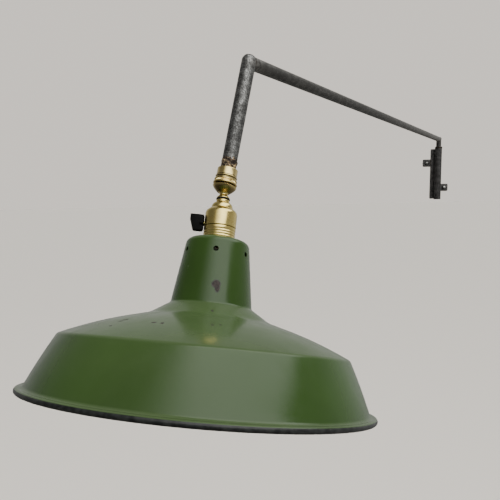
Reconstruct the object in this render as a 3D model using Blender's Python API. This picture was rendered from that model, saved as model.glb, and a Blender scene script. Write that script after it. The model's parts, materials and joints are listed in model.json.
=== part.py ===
"""Wall-mounted swing-arm lamp with an enamelled reflector shade.

Frame: metres, +Z up. The wall is the plane Y = 0, with +Y going into it, and the origin is the
centre of the bracket's back face. The arm swings about the vertical pin in the bracket's socket
and ends in a leaning drop tube. A brass ball joint under the drop tube carries the lampholder
and the shade.
"""

import math

import bmesh
import bpy
from mathutils import Matrix, Vector

MM = 0.001

# ---- clearances ----
GAP = 0.3 * MM  # between pieces that touch or run in each other
THREAD_CHAMFER = 0.4 * MM
THREAD_BORE = 5.1 * MM  # tapped hole for the M10 lamp thread
THREAD_RADIUS = 4.8 * MM  # outside of the M10 lamp thread
WIRE_BORE = 3.0 * MM  # way for the flex through threaded pieces

# ---- wall bracket ----
PLATE_WIDTH = 40 * MM
PLATE_HEIGHT = 190 * MM
PLATE_THICKNESS = 5 * MM
LUG_WIDTH = 29 * MM
LUG_HEIGHT = 28 * MM
UPPER_LUG_Z = 42 * MM
LOWER_LUG_Z = -52 * MM
LUG_HOLE_RADIUS = 3.2 * MM
PLATE_EASE = 0.6 * MM
SCREW_SHANK_RADIUS = 2.4 * MM
SCREW_LENGTH = 45 * MM
SCREW_HEAD_RADIUS = 5.6 * MM
SCREW_HEAD_HEIGHT = 3.4 * MM
SCREW_SLOT_WIDTH = 1.4 * MM
SCREW_SLOT_DEPTH = 1.3 * MM
SCREW_WASHER_RADIUS = 7.5 * MM
SCREW_WASHER_THICKNESS = 1.2 * MM
SCREW_DOME_ANGLES = (0, 20, 40, 60, 78)  # degrees up the round head

# ---- pivot ----
SOCKET_WALL = 1.6 * MM
SOCKET_OVERHANG = 2 * MM  # socket stands above and below the plate by this much
PIVOT_SIDE = 4 * MM  # pivot axis beside the plate's centre line
BUSH_LENGTH = 24 * MM
BUSH_WALL = 1.5 * MM
PLUG_THICKNESS = 6 * MM
SOCKET_CHAMFER = 0.5 * MM
WASHER_CHAMFER = 0.4 * MM
PIVOT_WASHER_BRIM = 1.3 * MM  # washer beyond the socket
PIVOT_WASHER_THICKNESS = 2 * MM
COLLAR_WIDTH = 3.4 * MM
COLLAR_HEIGHT = 3.4 * MM
COLLAR_CHAMFER = 0.6 * MM
NECK_LENGTH = 18 * MM  # bare pin between the arm tube and the collar

# ---- arm and drop tube ----
ARM_LENGTH = 1394 * MM  # pivot axis to drop tube axis
ARM_RADIUS = 9 * MM
TUBE_WALL = 1.6 * MM
ARM_SWING = 31.35  # degrees from square to the wall, towards -X
DROP_EXTRA = 1 * MM  # drop tube's radius over the arm's
DROP_LENGTH = 180.3 * MM  # arm axis to ball centre
DROP_LEAN = 21.5  # degrees from plumb, foot away from the wall
DROP_TOP = 8.6 * MM  # drop tube above the arm axis
DROP_CAP_HEIGHT = 2.2 * MM
DROP_CAP_SPIGOT = 5 * MM
DROP_CAP_ROUND = 1.6 * MM
DROP_CHAMFER = 0.3 * MM
WIRE_HOLE_RADIUS = 5.5 * MM

# ---- ball joint ----
BALL_RADIUS = 9.8 * MM
JOINT_CAP_BRIM = 0.6 * MM  # domed cap beyond the lock ring
JOINT_CAP_TOP = 2.4 * MM  # rim of the domed cap above the ball centre
JOINT_CAP_LIP = 2.43 * MM  # lip below the ball's seat
JOINT_MOUTH_RADIUS = 7.4 * MM
CUP_SIDE_ROOM = 1.4 * MM  # between ball and cup
CUP_THREAD_WALL = 1.7 * MM
CUP_STEP = 0.4 * MM  # cup's barrel beyond its thread
CUP_THREAD_FOOT = -1.2 * MM
CUP_TOP_WALL = 11.6 * MM
CUP_BEAD_RISE = 3.8 * MM  # bead above the lock ring
CUP_BEAD = 0.9 * MM
CUP_CHAMFER = 0.6 * MM
LOCK_RING_WALL = 2.0 * MM
LOCK_RING_FOOT = 3.0 * MM
LOCK_RING_HEIGHT = 6.8 * MM
LOCK_RING_BEAD = 1.1 * MM
LOCK_RING_BEAD_STEP = 0.6 * MM  # bead stands out from the ring
LOCK_RING_CHAMFER = 0.4 * MM
JOINT_CAP_EDGE = 0.8 * MM  # straight rim of the domed cap
JOINT_CAP_EDGE_CHAMFER = 0.3 * MM
JOINT_MOUTH_LIP = 0.6 * MM
SPRING_RISE = 0.9 * MM
SPRING_LEAF = 0.6 * MM
BUSH_FACE_LENGTH = 10 * MM  # brazed bush that shows below the drop tube
BUSH_SPIGOT = 12 * MM
SEAT_BORE = 6.8 * MM
SEAT_DISH_EDGE = 0.2 * MM  # edge of the seat's dish inside the ball's radius
SEAT_WALL = 1.0 * MM  # seat above the top of the ball
SPRING_ROOM = 2.4 * MM
STEM_WAIST_RADIUS = 5.2 * MM
STEM_FILLET = 0.6 * MM  # neck under the ball wider than the waist
STEM_WAIST_TOP = 1.4 * MM  # below the ball's neck
STEM_WAIST_LENGTH = 1.2 * MM
STEM_SWELL = 0.9 * MM
STEM_SWELL_DROP = 1.6 * MM
STEM_EDGE = 0.8 * MM  # straight edge of the skirt
STEM_EDGE_ROUND = 0.4 * MM
STEM_SKIRT_RADIUS = 8.2 * MM
STEM_SKIRT_DROP = 5.7 * MM  # stem's foot below the domed cap
STEM_THREAD_LENGTH = 16 * MM
HEAD_TILT = 4.7  # degrees between the drop tube and the lamp head
HEAD_TILT_HEADING = -76.2  # degrees about the drop tube
HEAD_TURN = 122.2  # degrees of the lamp head about its own axis

# ---- lampholder, heights from the ball centre ----
RUBBER_RADIUS = 8.9 * MM
RUBBER_THICKNESS = 2.0 * MM
RUBBER_CHAMFER = 0.5 * MM
COLLAR_NUT_RADIUS = 8.3 * MM
COLLAR_NUT_HEIGHT = 3.0 * MM
COLLAR_NUT_CHAMFER = 0.3 * MM
CAP_TOP_RADIUS = 8.5 * MM
CAP_FOOT_RADIUS = 13.6 * MM
CAP_HEIGHT = 7.7 * MM
CAP_BULGE = ((0.0, 0.0), (0.45, 0.22), (0.72, 0.45), (0.90, 0.72), (1.0, 1.0))  # shares out, shares down
CAP_ROOF = 0.6  # share of the cap's height that is solid
CAP_SPIGOT_RADIUS = 10.7 * MM
CAP_SPIGOT_LENGTH = 3.5 * MM
HOLDER_RADIUS = 20.1 * MM
HOLDER_WALL = 1.2 * MM
SHOULDER_HEIGHT = 5.5 * MM
SHOULDER_TOP_EDGE = 0.5 * MM  # body's top beyond the cap's foot
SHOULDER_BEND = (  # in from the side, up from the shoulder's foot
    (1.3 * MM, 1.1 * MM), (0.4 * MM, 0.3 * MM), (0, -0.6 * MM),
)
BODY_HEIGHT = 24.8 * MM
SKIRT_STEP_HEIGHT = 17 * MM
SKIRT_STEP = 0.6 * MM  # shade rests against this step
SKIRT_WALL = 1.0 * MM
SKIRT_CHAMFER = 0.4 * MM
SKIRT_LENGTH = 29.7 * MM
SWITCH_BLOCK_ROOM = 1.3 * MM  # between block and body
SWITCH_BLOCK_HEIGHT = 21 * MM
SWITCH_BLOCK_DROP = 8.1 * MM  # top of the block below the top of the body
SWITCH_AXIS_RISE = 3.7 * MM  # switch spindle above the foot of the body
SWITCH_BORE_RADIUS = 5.2 * MM
SWITCH_BORE_END = 5 * MM
SPINDLE_RADIUS = 2.4 * MM
KNOB_HEIGHT = 22 * MM
KNOB_REACH = 16.8 * MM
KNOB_THICKNESS = 6.5 * MM
KNOB_STANDOFF = 1.6 * MM
KNOB_HUB_RADIUS = 4.6 * MM
KNOB_HUB_BACK = 1.0 * MM  # hub towards the lampholder from the paddle
KNOB_HUB_LENGTH = 6.0 * MM
KNOB_SOCKET_DEPTH = 4.0 * MM
KNOB_OUTLINE = (  # shares of half the height, shares of the reach
    (0.50, 0.0), (1.0, 0.12), (0.97, 1.0), (-1.0, 0.82), (-1.0, 0.16), (-0.45, 0.0),
)
CAM_SHORT = 1.5 * MM  # cam's end inside the block's side
TERMINAL_SIZE = (6 * MM, 5 * MM, 3.6 * MM)
TERMINAL_OFFSET = 9 * MM
TERMINAL_SCREW_RADIUS = 1.5 * MM
TERMINAL_SCREW_HEAD = 1.6 * MM
TERMINAL_EASE = 0.4 * MM
TERMINAL_SCREW_EASE = 0.3 * MM
SHELL_ROOM = 0.4 * MM  # between screw shell and insulator
INSULATOR_FLOOR = 4 * MM
INSULATOR_LENGTH = 26 * MM
SHELL_RADIUS = 14.2 * MM
SHELL_WALL = 0.7 * MM
CONTACT_RADIUS = 5 * MM
CONTACT_THICKNESS = 1.6 * MM
CONTACT_STEM_RADIUS = 2.2 * MM
SHADE_RING_WIDTH = 4.5 * MM
SHADE_RING_HEIGHT = 4 * MM
SHADE_RING_CHAMFER = 0.6 * MM

# ---- bulb ----
BULB_CAP_RADIUS = 13.0 * MM
BULB_CAP_LENGTH = 24 * MM
BULB_CONTACT_HEIGHT = 2 * MM
BULB_RADIUS = 30 * MM
BULB_LENGTH = 78 * MM
BULB_CAP_WALL = 0.6 * MM
BULB_CAP_SLOPE = 4 * MM
BULB_TIP_SHARE = 0.6  # flat top of the cap and of its contact, as a share of their radius
BULB_NECK_STEP = 0.5 * MM  # glass inside the cap's radius
BULB_NECK_SPREAD = 1.5 * MM
BULB_NECK_LENGTH = 12 * MM
BULB_NECK_ANGLE = 38  # degrees up the globe where the neck meets it
GLASS_WALL = 0.9 * MM

# ---- shade ----
SHADE_RIM_RADIUS = 200 * MM
SHADE_WALL = 0.9 * MM
RIM_BEAD_RADIUS = 3.2 * MM
LIP_WIDTH = 8 * MM  # turned-out lip from the skirt's foot to the rim
SHOULDER_INSET = 34 * MM  # shoulder ridge inside the rim
SHOULDER_ROUND = 7 * MM
FLARE_RADIUS = 74 * MM
NECK_BASE_RADIUS = 49.3 * MM
NECK_TOP_RADIUS = 39.7 * MM
NECK_ROUND = 8 * MM
NECK_DEPTH = 81.5 * MM
FLARE_DEPTH = 16 * MM
CONE_DEPTH = 32 * MM
SKIRT_DEPTH = 57 * MM
LIP_DEPTH = 4.5 * MM
LIP_TURN = (1.6 * MM, 1.2 * MM)  # outer skin bends out and down into the rolled rim
LIP_UNDER = (1.0 * MM, 2.6 * MM)  # inner skin where it meets the rolled rim
CONE_CROWN = 3 * MM  # the cone bulges by this much
VENT_COUNT = 6
VENT_RADIUS = 3.1 * MM
VENT_DROP = 17.6 * MM  # vent holes below the top of the shade

# ---- radii that follow from the sizes above ----
SOCKET_BORE = ARM_RADIUS + BUSH_WALL + 2 * GAP
SOCKET_RADIUS = SOCKET_BORE + SOCKET_WALL
DROP_RADIUS = ARM_RADIUS + DROP_EXTRA
SEAT_DISH = BALL_RADIUS + GAP
SEAT_RADIUS = BALL_RADIUS - SEAT_DISH_EDGE
CUP_BORE = BALL_RADIUS + CUP_SIDE_ROOM
CUP_THREAD_RADIUS = CUP_BORE + CUP_THREAD_WALL
CUP_RADIUS = CUP_THREAD_RADIUS + CUP_STEP
LOCK_RING_RADIUS = CUP_THREAD_RADIUS + LOCK_RING_WALL
JOINT_CAP_RADIUS = LOCK_RING_RADIUS + JOINT_CAP_BRIM
HOLDER_BORE = HOLDER_RADIUS - HOLDER_WALL
SWITCH_BLOCK_RADIUS = HOLDER_BORE - SWITCH_BLOCK_ROOM
SKIRT_THREAD_RADIUS = HOLDER_RADIUS - SKIRT_STEP
INSULATOR_RADIUS = SKIRT_THREAD_RADIUS - SKIRT_WALL - GAP
INSULATOR_BORE = SHELL_RADIUS + SHELL_ROOM
SHADE_HOLE_RADIUS = SKIRT_THREAD_RADIUS + GAP

# ---- heights that follow, the ball joint's and the lampholder's from the ball centre ----
ARM_HEIGHT = (
    PLATE_HEIGHT / 2 + SOCKET_OVERHANG + PIVOT_WASHER_THICKNESS + COLLAR_HEIGHT
    + 3 * GAP + NECK_LENGTH + ARM_RADIUS
)
PIVOT_STANDOFF = PLATE_THICKNESS + GAP + SOCKET_RADIUS
SOCKET_TOP = PLATE_HEIGHT / 2 + SOCKET_OVERHANG - ARM_HEIGHT  # from the arm axis
SOCKET_LENGTH = PLATE_HEIGHT + 2 * SOCKET_OVERHANG
LOCK_RING_TOP = LOCK_RING_FOOT + LOCK_RING_HEIGHT
CUP_BEAD_Z = LOCK_RING_TOP + CUP_BEAD_RISE
SEAT_TOP = BALL_RADIUS + SEAT_WALL
CUP_CEILING = SEAT_TOP + SPRING_ROOM
CUP_HEIGHT = CUP_CEILING + CUP_TOP_WALL
JOINT_CAP_FOOT = -math.sqrt(SEAT_DISH**2 - JOINT_MOUTH_RADIUS**2) - JOINT_CAP_LIP
STEM_FOOT = JOINT_CAP_FOOT - STEM_SKIRT_DROP
STEM_THREAD_FOOT = STEM_FOOT - STEM_THREAD_LENGTH
RUBBER_TOP = STEM_FOOT - GAP
NUT_TOP = RUBBER_TOP - RUBBER_THICKNESS - GAP
CAP_TOP = NUT_TOP - COLLAR_NUT_HEIGHT - GAP
BODY_TOP = CAP_TOP - CAP_HEIGHT - GAP
BODY_FOOT = BODY_TOP - BODY_HEIGHT
SKIRT_TOP = BODY_FOOT - 2 * GAP
SHADE_TOP = SKIRT_TOP - SKIRT_STEP_HEIGHT - GAP
SWITCH_AXIS_Z = BODY_FOOT + SWITCH_AXIS_RISE
BLOCK_TOP = BODY_TOP - SWITCH_BLOCK_DROP
BLOCK_FOOT = BLOCK_TOP - SWITCH_BLOCK_HEIGHT
INSULATOR_TOP = BLOCK_FOOT - GAP
INSULATOR_INSIDE = INSULATOR_TOP - INSULATOR_FLOOR
CONTACT_TOP = INSULATOR_INSIDE - GAP
BULB_TOP = CONTACT_TOP - CONTACT_THICKNESS - GAP
BULB_CAP_TOP = BULB_TOP - BULB_CONTACT_HEIGHT
BULB_GLASS_TOP = BULB_CAP_TOP - BULB_CAP_LENGTH - GAP
SHADE_RING_TOP = SHADE_TOP - SHADE_WALL - GAP

FINE = 48  # sides of the shade
MEDIUM = 20  # sides of the tubes and the lampholder
COARSE = 12  # sides of screws and small rings

FINISHES = {
    "black_steel": ((0.075, 0.073, 0.070), 0.48, 0.85),
    "bracket_steel": ((0.045, 0.045, 0.044), 0.60, 0.75),
    "zinc": ((0.62, 0.62, 0.60), 0.38, 1.0),
    "bronze": ((0.36, 0.22, 0.10), 0.45, 1.0),
    "braze": ((0.42, 0.24, 0.13), 0.50, 0.9),
    "brass": ((0.78, 0.58, 0.26), 0.24, 1.0),
    "fibre": ((0.30, 0.12, 0.07), 0.75, 0.0),
    "rubber": ((0.015, 0.015, 0.015), 0.65, 0.0),
    "bakelite": ((0.010, 0.010, 0.011), 0.18, 0.0),
    "porcelain": ((0.80, 0.78, 0.72), 0.20, 0.0),
    "green_enamel": ((0.045, 0.105, 0.022), 0.12, 0.0),
    "opal_glass": ((0.90, 0.89, 0.85), 0.15, 0.0),
}


def clear_scene():
    for item in list(bpy.data.objects):
        bpy.data.objects.remove(item, do_unlink=True)


def material(finish):
    found = bpy.data.materials.get(finish)
    if found:
        return found
    colour, roughness, metallic = FINISHES[finish]
    made = bpy.data.materials.new(finish)
    made.use_nodes = True
    shader = made.node_tree.nodes["Principled BSDF"]
    shader.inputs["Base Color"].default_value = (*colour, 1)
    shader.inputs["Roughness"].default_value = roughness
    shader.inputs["Metallic"].default_value = metallic
    made.diffuse_color = (*colour, 1)
    return made


def frame(name, parent=None, place=(0, 0, 0), turn=None):
    """An empty that other pieces hang from."""
    made = bpy.data.objects.new(name, None)
    bpy.context.scene.collection.objects.link(made)
    made.parent = parent
    made.matrix_basis = Matrix.Translation(Vector(place)) @ (turn or Matrix.Identity(4))
    return made


def turned_about(axis, degrees):
    return Matrix.Rotation(math.radians(degrees), 4, axis)


def add(name, mesh_maker, finish, parent=None, place=(0, 0, 0), turn=None):
    """Makes an object from a bmesh and gives it its finish and place."""
    mesh = bpy.data.meshes.new(name)
    mesh_maker.to_mesh(mesh)
    mesh_maker.free()
    mesh.shade_smooth()
    mesh.set_sharp_from_angle(angle=math.radians(35))
    made = bpy.data.objects.new(name, mesh)
    if finish:
        mesh.materials.append(material(finish))
    bpy.context.scene.collection.objects.link(made)
    made.parent = parent
    made.matrix_basis = Matrix.Translation(Vector(place)) @ (turn or Matrix.Identity(4))
    return made


def cutter(made):
    made.hide_render = True
    made.display_type = "WIRE"
    return made


def cut(target, tool):
    hole = target.modifiers.new("cut " + tool.name, "BOOLEAN")
    hole.operation = "DIFFERENCE"
    hole.object = cutter(tool)
    hole.solver = "EXACT"


def arc(centre, radius, start, end, count):
    """Points (r, z) along a circular arc, angles in degrees from +r."""
    points = []
    for step in range(count + 1):
        angle = math.radians(start + (end - start) * step / count)
        points.append((centre[0] + radius * math.cos(angle), centre[1] + radius * math.sin(angle)))
    return points


def turned(outline, sides):
    """A turned solid: the outline of (r, z) points, spun round Z.

    An outline whose ends are both on the axis makes a solid piece; any other outline is a closed
    loop and makes a ring.
    """
    made = bmesh.new()
    corners = [made.verts.new((r, 0, z)) for r, z in outline]
    edges = [made.edges.new(pair) for pair in zip(corners, corners[1:])]
    if outline[0][0] > 0 or outline[-1][0] > 0:
        edges.append(made.edges.new((corners[-1], corners[0])))
    bmesh.ops.spin(
        made, geom=corners + edges, cent=(0, 0, 0), axis=(0, 0, 1),
        angle=2 * math.pi, steps=sides, use_merge=True, use_duplicate=False,
    )
    bmesh.ops.remove_doubles(made, verts=made.verts, dist=0.001 * MM)
    bmesh.ops.recalc_face_normals(made, faces=made.faces)
    return made


def tube(outer, inner, low, high, sides=MEDIUM, chamfer=0.0):
    """A straight tube along Z, with its outer edges chamfered."""
    return turned(
        [
            (inner, low), (outer - chamfer, low), (outer, low + chamfer),
            (outer, high - chamfer), (outer - chamfer, high), (inner, high),
        ]
        if chamfer
        else [(inner, low), (outer, low), (outer, high), (inner, high)],
        sides,
    )


def rod(radius, low, high, sides=COARSE):
    return turned([(0, low), (radius, low), (radius, high), (0, high)], sides)


def block(size, centre=(0, 0, 0)):
    made = bmesh.new()
    bmesh.ops.create_cube(made, size=1)
    bmesh.ops.scale(made, vec=size, verts=made.verts)
    bmesh.ops.translate(made, vec=centre, verts=made.verts)
    return made


def eased(made, width, segments=2):
    """Rounds a piece's sharp edges."""
    ease = made.modifiers.new("eased edges", "BEVEL")
    ease.width = width
    ease.segments = segments
    ease.limit_method = "ANGLE"
    ease.angle_limit = math.radians(40)
    return made


def mitred(made, point, normal):
    """Cuts a tube off at a plane, keeping the side that the normal points away from."""
    bmesh.ops.bisect_plane(
        made, geom=made.verts[:] + made.edges[:] + made.faces[:],
        plane_co=point, plane_no=normal, clear_outer=True, dist=0.0001 * MM,
    )
    rims = [edge for edge in made.edges if edge.is_boundary]
    bmesh.ops.bridge_loops(made, edges=rims)
    bmesh.ops.recalc_face_normals(made, faces=made.faces)
    return made


def bracket(wall):
    """Flat bar against the wall, two fixing lugs with their screws, and the upright socket."""
    plate_y = -PLATE_THICKNESS / 2
    plate = add(
        "bracket_backplate", block((PLATE_WIDTH, PLATE_THICKNESS, PLATE_HEIGHT), (0, plate_y, 0)),
        "bracket_steel", wall,
    )
    eased(plate, PLATE_EASE)
    lug_x = PLATE_WIDTH / 2 + GAP + LUG_WIDTH / 2
    for label, side, height in (("upper", -1, UPPER_LUG_Z), ("lower", 1, LOWER_LUG_Z)):
        centre = (side * lug_x, plate_y, height)
        lug = add(
            f"{label}_fixing_lug", block((LUG_WIDTH, PLATE_THICKNESS, LUG_HEIGHT)),
            "bracket_steel", wall, centre,
        )
        hole = add(
            f"{label}_lug_hole", rod(LUG_HOLE_RADIUS, -PLATE_THICKNESS, PLATE_THICKNESS),
            None, wall, centre, turned_about("X", 90),
        )
        eased(lug, PLATE_EASE)
        cut(lug, hole)
        wall_fixing(label, wall, (side * lug_x, -PLATE_THICKNESS, height))


def wall_fixing(label, wall, face):
    """Round-head slotted screw and washer. Local +Z comes out of the wall."""
    out_of_wall = turned_about("X", 90)
    fixing = frame(f"{label}_fixing", wall, face, out_of_wall)
    add(
        f"{label}_screw_washer",
        tube(SCREW_WASHER_RADIUS, SCREW_SHANK_RADIUS + GAP, GAP, GAP + SCREW_WASHER_THICKNESS, COARSE),
        "zinc", fixing,
    )
    seat = SCREW_WASHER_THICKNESS + 2 * GAP
    dome = [
        (SCREW_HEAD_RADIUS * math.cos(math.radians(angle)),
         seat + SCREW_HEAD_HEIGHT * math.sin(math.radians(angle)))
        for angle in SCREW_DOME_ANGLES
    ]
    foot = seat - SCREW_LENGTH
    outline = [(0, foot), (SCREW_SHANK_RADIUS, foot + 3 * SCREW_SHANK_RADIUS), (SCREW_SHANK_RADIUS, seat)]
    outline += dome + [(0, seat + SCREW_HEAD_HEIGHT)]
    screw = add(f"{label}_wall_screw", turned(outline, COARSE), "zinc", fixing)
    slot = add(
        f"{label}_screw_slot",
        block((3 * SCREW_HEAD_RADIUS, SCREW_SLOT_WIDTH, 2 * SCREW_SLOT_DEPTH)),
        None, fixing, (0, 0, seat + SCREW_HEAD_HEIGHT),
    )
    cut(screw, slot)


def pivot(pivot_frame):
    """Socket tube on the plate, its bushes, plug and washer. Heights are from the arm axis."""
    foot = SOCKET_TOP - SOCKET_LENGTH
    bush_radius = SOCKET_BORE - GAP
    bush_bore = ARM_RADIUS + GAP
    add(
        "pivot_socket", tube(SOCKET_RADIUS, SOCKET_BORE, foot, SOCKET_TOP, chamfer=SOCKET_CHAMFER),
        "bracket_steel", pivot_frame,
    )
    add(
        "upper_pivot_bush", tube(bush_radius, bush_bore, SOCKET_TOP - BUSH_LENGTH, SOCKET_TOP - GAP),
        "bronze", pivot_frame,
    )
    lower = foot + PLUG_THICKNESS + GAP
    add(
        "lower_pivot_bush", tube(bush_radius, bush_bore, lower, lower + BUSH_LENGTH),
        "bronze", pivot_frame,
    )
    add(
        "socket_bottom_plug",
        tube(bush_radius, WIRE_HOLE_RADIUS, foot + GAP, foot + PLUG_THICKNESS, chamfer=SOCKET_CHAMFER),
        "bracket_steel", pivot_frame,
    )
    washer_foot = SOCKET_TOP + GAP
    add(
        "pivot_washer",
        tube(SOCKET_RADIUS + PIVOT_WASHER_BRIM, bush_bore, washer_foot, washer_foot + PIVOT_WASHER_THICKNESS,
             chamfer=WASHER_CHAMFER),
        "bronze", pivot_frame,
    )


def arm(arm_frame):
    """Hollow pin mitred to the long arm tube, with the collar that rests on the pivot washer."""
    bore = ARM_RADIUS - TUBE_WALL
    mitre = Vector((1, 0, 1)).normalized()
    pin_foot = SOCKET_TOP - SOCKET_LENGTH + PLUG_THICKNESS + 2 * GAP
    pin = tube(ARM_RADIUS, bore, pin_foot, 2 * ARM_RADIUS)
    add("pivot_pin", mitred(pin, -mitre * GAP / 2, mitre), "black_steel", arm_frame)
    collar_foot = SOCKET_TOP + 2 * GAP + PIVOT_WASHER_THICKNESS
    add(
        "pivot_collar",
        tube(ARM_RADIUS + COLLAR_WIDTH, ARM_RADIUS + GAP, collar_foot, collar_foot + COLLAR_HEIGHT,
             chamfer=COLLAR_CHAMFER),
        "bracket_steel", arm_frame,
    )
    long_tube = tube(ARM_RADIUS, bore, -2 * ARM_RADIUS, ARM_LENGTH)
    bmesh.ops.rotate(long_tube, matrix=Matrix.Rotation(math.pi / 2, 3, "Y"), verts=long_tube.verts)
    tube_object = add(
        "arm_tube", mitred(long_tube, mitre * GAP / 2, -mitre), "black_steel", arm_frame
    )
    cope = add(
        "arm_tube_cope", rod(DROP_RADIUS + GAP, -4 * DROP_RADIUS, 4 * DROP_RADIUS, MEDIUM), None,
        arm_frame, (ARM_LENGTH, 0, 0), turned_about("Y", -DROP_LEAN),
    )
    cut(tube_object, cope)


def drop(drop_frame, arm_frame):
    """Leaning drop tube with its closing cap and the brazed bush in its foot."""
    bore = DROP_RADIUS - TUBE_WALL
    bush_face = CUP_HEIGHT + GAP - DROP_LENGTH
    tube_foot = bush_face + BUSH_FACE_LENGTH + GAP
    drop_tube = add(
        "drop_tube", tube(DROP_RADIUS, bore, tube_foot, DROP_TOP, chamfer=DROP_CHAMFER),
        "black_steel", drop_frame,
    )
    wire_hole = add(
        "drop_tube_wire_hole", rod(WIRE_HOLE_RADIUS, -2 * DROP_RADIUS, 0), None, arm_frame,
        (ARM_LENGTH, 0, 0), turned_about("Y", 90),
    )
    cut(drop_tube, wire_hole)
    cap_foot = DROP_TOP + GAP
    add(
        "drop_tube_cap",
        turned(
            [(0, cap_foot - DROP_CAP_SPIGOT), (bore - GAP, cap_foot - DROP_CAP_SPIGOT),
             (bore - GAP, cap_foot), (DROP_RADIUS, cap_foot)]
            + arc((DROP_RADIUS - DROP_CAP_ROUND, cap_foot + DROP_CAP_HEIGHT - DROP_CAP_ROUND),
                  DROP_CAP_ROUND, 0, 90, 4)
            + [(0, cap_foot + DROP_CAP_HEIGHT)],
            MEDIUM,
        ),
        "black_steel", drop_frame,
    )
    spigot_top = tube_foot + BUSH_SPIGOT
    add(
        "brazed_bush",
        turned(
            [(THREAD_BORE, bush_face), (DROP_RADIUS, bush_face), (DROP_RADIUS, tube_foot - GAP),
             (bore - GAP, tube_foot - GAP), (bore - GAP, spigot_top), (THREAD_BORE, spigot_top)],
            MEDIUM,
        ),
        "braze", drop_frame,
    )
    add(
        "joint_nipple",
        tube(THREAD_RADIUS, WIRE_BORE, CUP_CEILING + GAP - DROP_LENGTH, spigot_top - BUSH_SPIGOT / 3,
             COARSE, THREAD_CHAMFER),
        "brass", drop_frame,
    )


def ball_joint(joint_frame):
    """Cup on the nipple, knurled lock ring, domed cap that holds the ball, and the disc spring."""
    cup_outline = [
        (THREAD_BORE, CUP_HEIGHT), (CUP_RADIUS - CUP_CHAMFER, CUP_HEIGHT),
        (CUP_RADIUS, CUP_HEIGHT - CUP_CHAMFER),
        (CUP_RADIUS, CUP_BEAD_Z + CUP_BEAD),
    ]
    cup_outline += arc((CUP_RADIUS, CUP_BEAD_Z), CUP_BEAD, 60, -60, 4)
    cup_outline += [
        (CUP_RADIUS, CUP_BEAD_Z - CUP_BEAD), (CUP_RADIUS, LOCK_RING_TOP + GAP),
        (CUP_THREAD_RADIUS, LOCK_RING_TOP + GAP), (CUP_THREAD_RADIUS, CUP_THREAD_FOOT),
        (CUP_BORE, CUP_THREAD_FOOT), (CUP_BORE, CUP_CEILING), (THREAD_BORE, CUP_CEILING),
    ]
    add("ball_joint_cup", turned(cup_outline, MEDIUM), "brass", joint_frame)

    ring_bore = CUP_THREAD_RADIUS + GAP
    bead_centre = (
        LOCK_RING_RADIUS + LOCK_RING_BEAD_STEP - LOCK_RING_BEAD, LOCK_RING_FOOT + LOCK_RING_BEAD,
    )
    ring_outline = [(ring_bore, LOCK_RING_FOOT)]
    ring_outline += arc(bead_centre, LOCK_RING_BEAD, -75, 60, 5)
    ring_outline += [
        (LOCK_RING_RADIUS, LOCK_RING_FOOT + 2 * LOCK_RING_BEAD),
        (LOCK_RING_RADIUS, LOCK_RING_TOP - LOCK_RING_CHAMFER),
        (LOCK_RING_RADIUS - LOCK_RING_CHAMFER, LOCK_RING_TOP), (ring_bore, LOCK_RING_TOP),
    ]
    add("joint_lock_ring", turned(ring_outline, MEDIUM), "brass", joint_frame)

    ledge = CUP_THREAD_FOOT - GAP
    mouth_angle = math.degrees(math.acos(JOINT_MOUTH_RADIUS / SEAT_DISH))
    ledge_angle = math.degrees(math.asin(-ledge / SEAT_DISH))
    foot = JOINT_CAP_FOOT
    rim = JOINT_CAP_TOP - JOINT_CAP_EDGE
    lip_share = (JOINT_MOUTH_RADIUS + JOINT_MOUTH_LIP) / JOINT_CAP_RADIUS
    dome_height = (rim - foot) / math.sqrt(1 - lip_share * lip_share)
    last = math.degrees(math.acos(lip_share))
    cap_outline = [(ring_bore, JOINT_CAP_TOP), (ring_bore, ledge)]
    cap_outline += arc((0, 0), SEAT_DISH, -ledge_angle, -mouth_angle, 5)
    cap_outline += [(JOINT_MOUTH_RADIUS, foot + JOINT_MOUTH_LIP)]
    dome_steps = 7
    for step in range(dome_steps + 1):
        angle = math.radians(last * (1 - step / dome_steps))
        cap_outline.append((JOINT_CAP_RADIUS * math.cos(angle), rim - dome_height * math.sin(angle)))
    cap_outline.append((JOINT_CAP_RADIUS - JOINT_CAP_EDGE_CHAMFER, JOINT_CAP_TOP))
    add("ball_joint_cap", turned(cap_outline, MEDIUM), "brass", joint_frame)

    spring_foot = SEAT_TOP + GAP
    add(
        "joint_disc_spring",
        turned(
            [(SEAT_BORE, spring_foot + SPRING_RISE), (CUP_BORE - 2 * GAP, spring_foot),
             (CUP_BORE - 2 * GAP, spring_foot + SPRING_LEAF),
             (SEAT_BORE, spring_foot + SPRING_RISE + SPRING_LEAF)],
            COARSE,
        ),
        "zinc", joint_frame,
    )


def ball_seat(joint_frame):
    """Fibre seat above the ball, dished to it."""
    outer_angle = math.degrees(math.acos(SEAT_RADIUS / SEAT_DISH))
    inner_angle = math.degrees(math.acos(SEAT_BORE / SEAT_DISH))
    outline = arc((0, 0), SEAT_DISH, inner_angle, outer_angle, 5)
    outline += [(CUP_BORE - 2 * GAP, outline[-1][1]), (CUP_BORE - 2 * GAP, SEAT_TOP), (SEAT_BORE, SEAT_TOP)]
    add("ball_seat", turned(outline, MEDIUM), "fibre", joint_frame)


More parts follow.
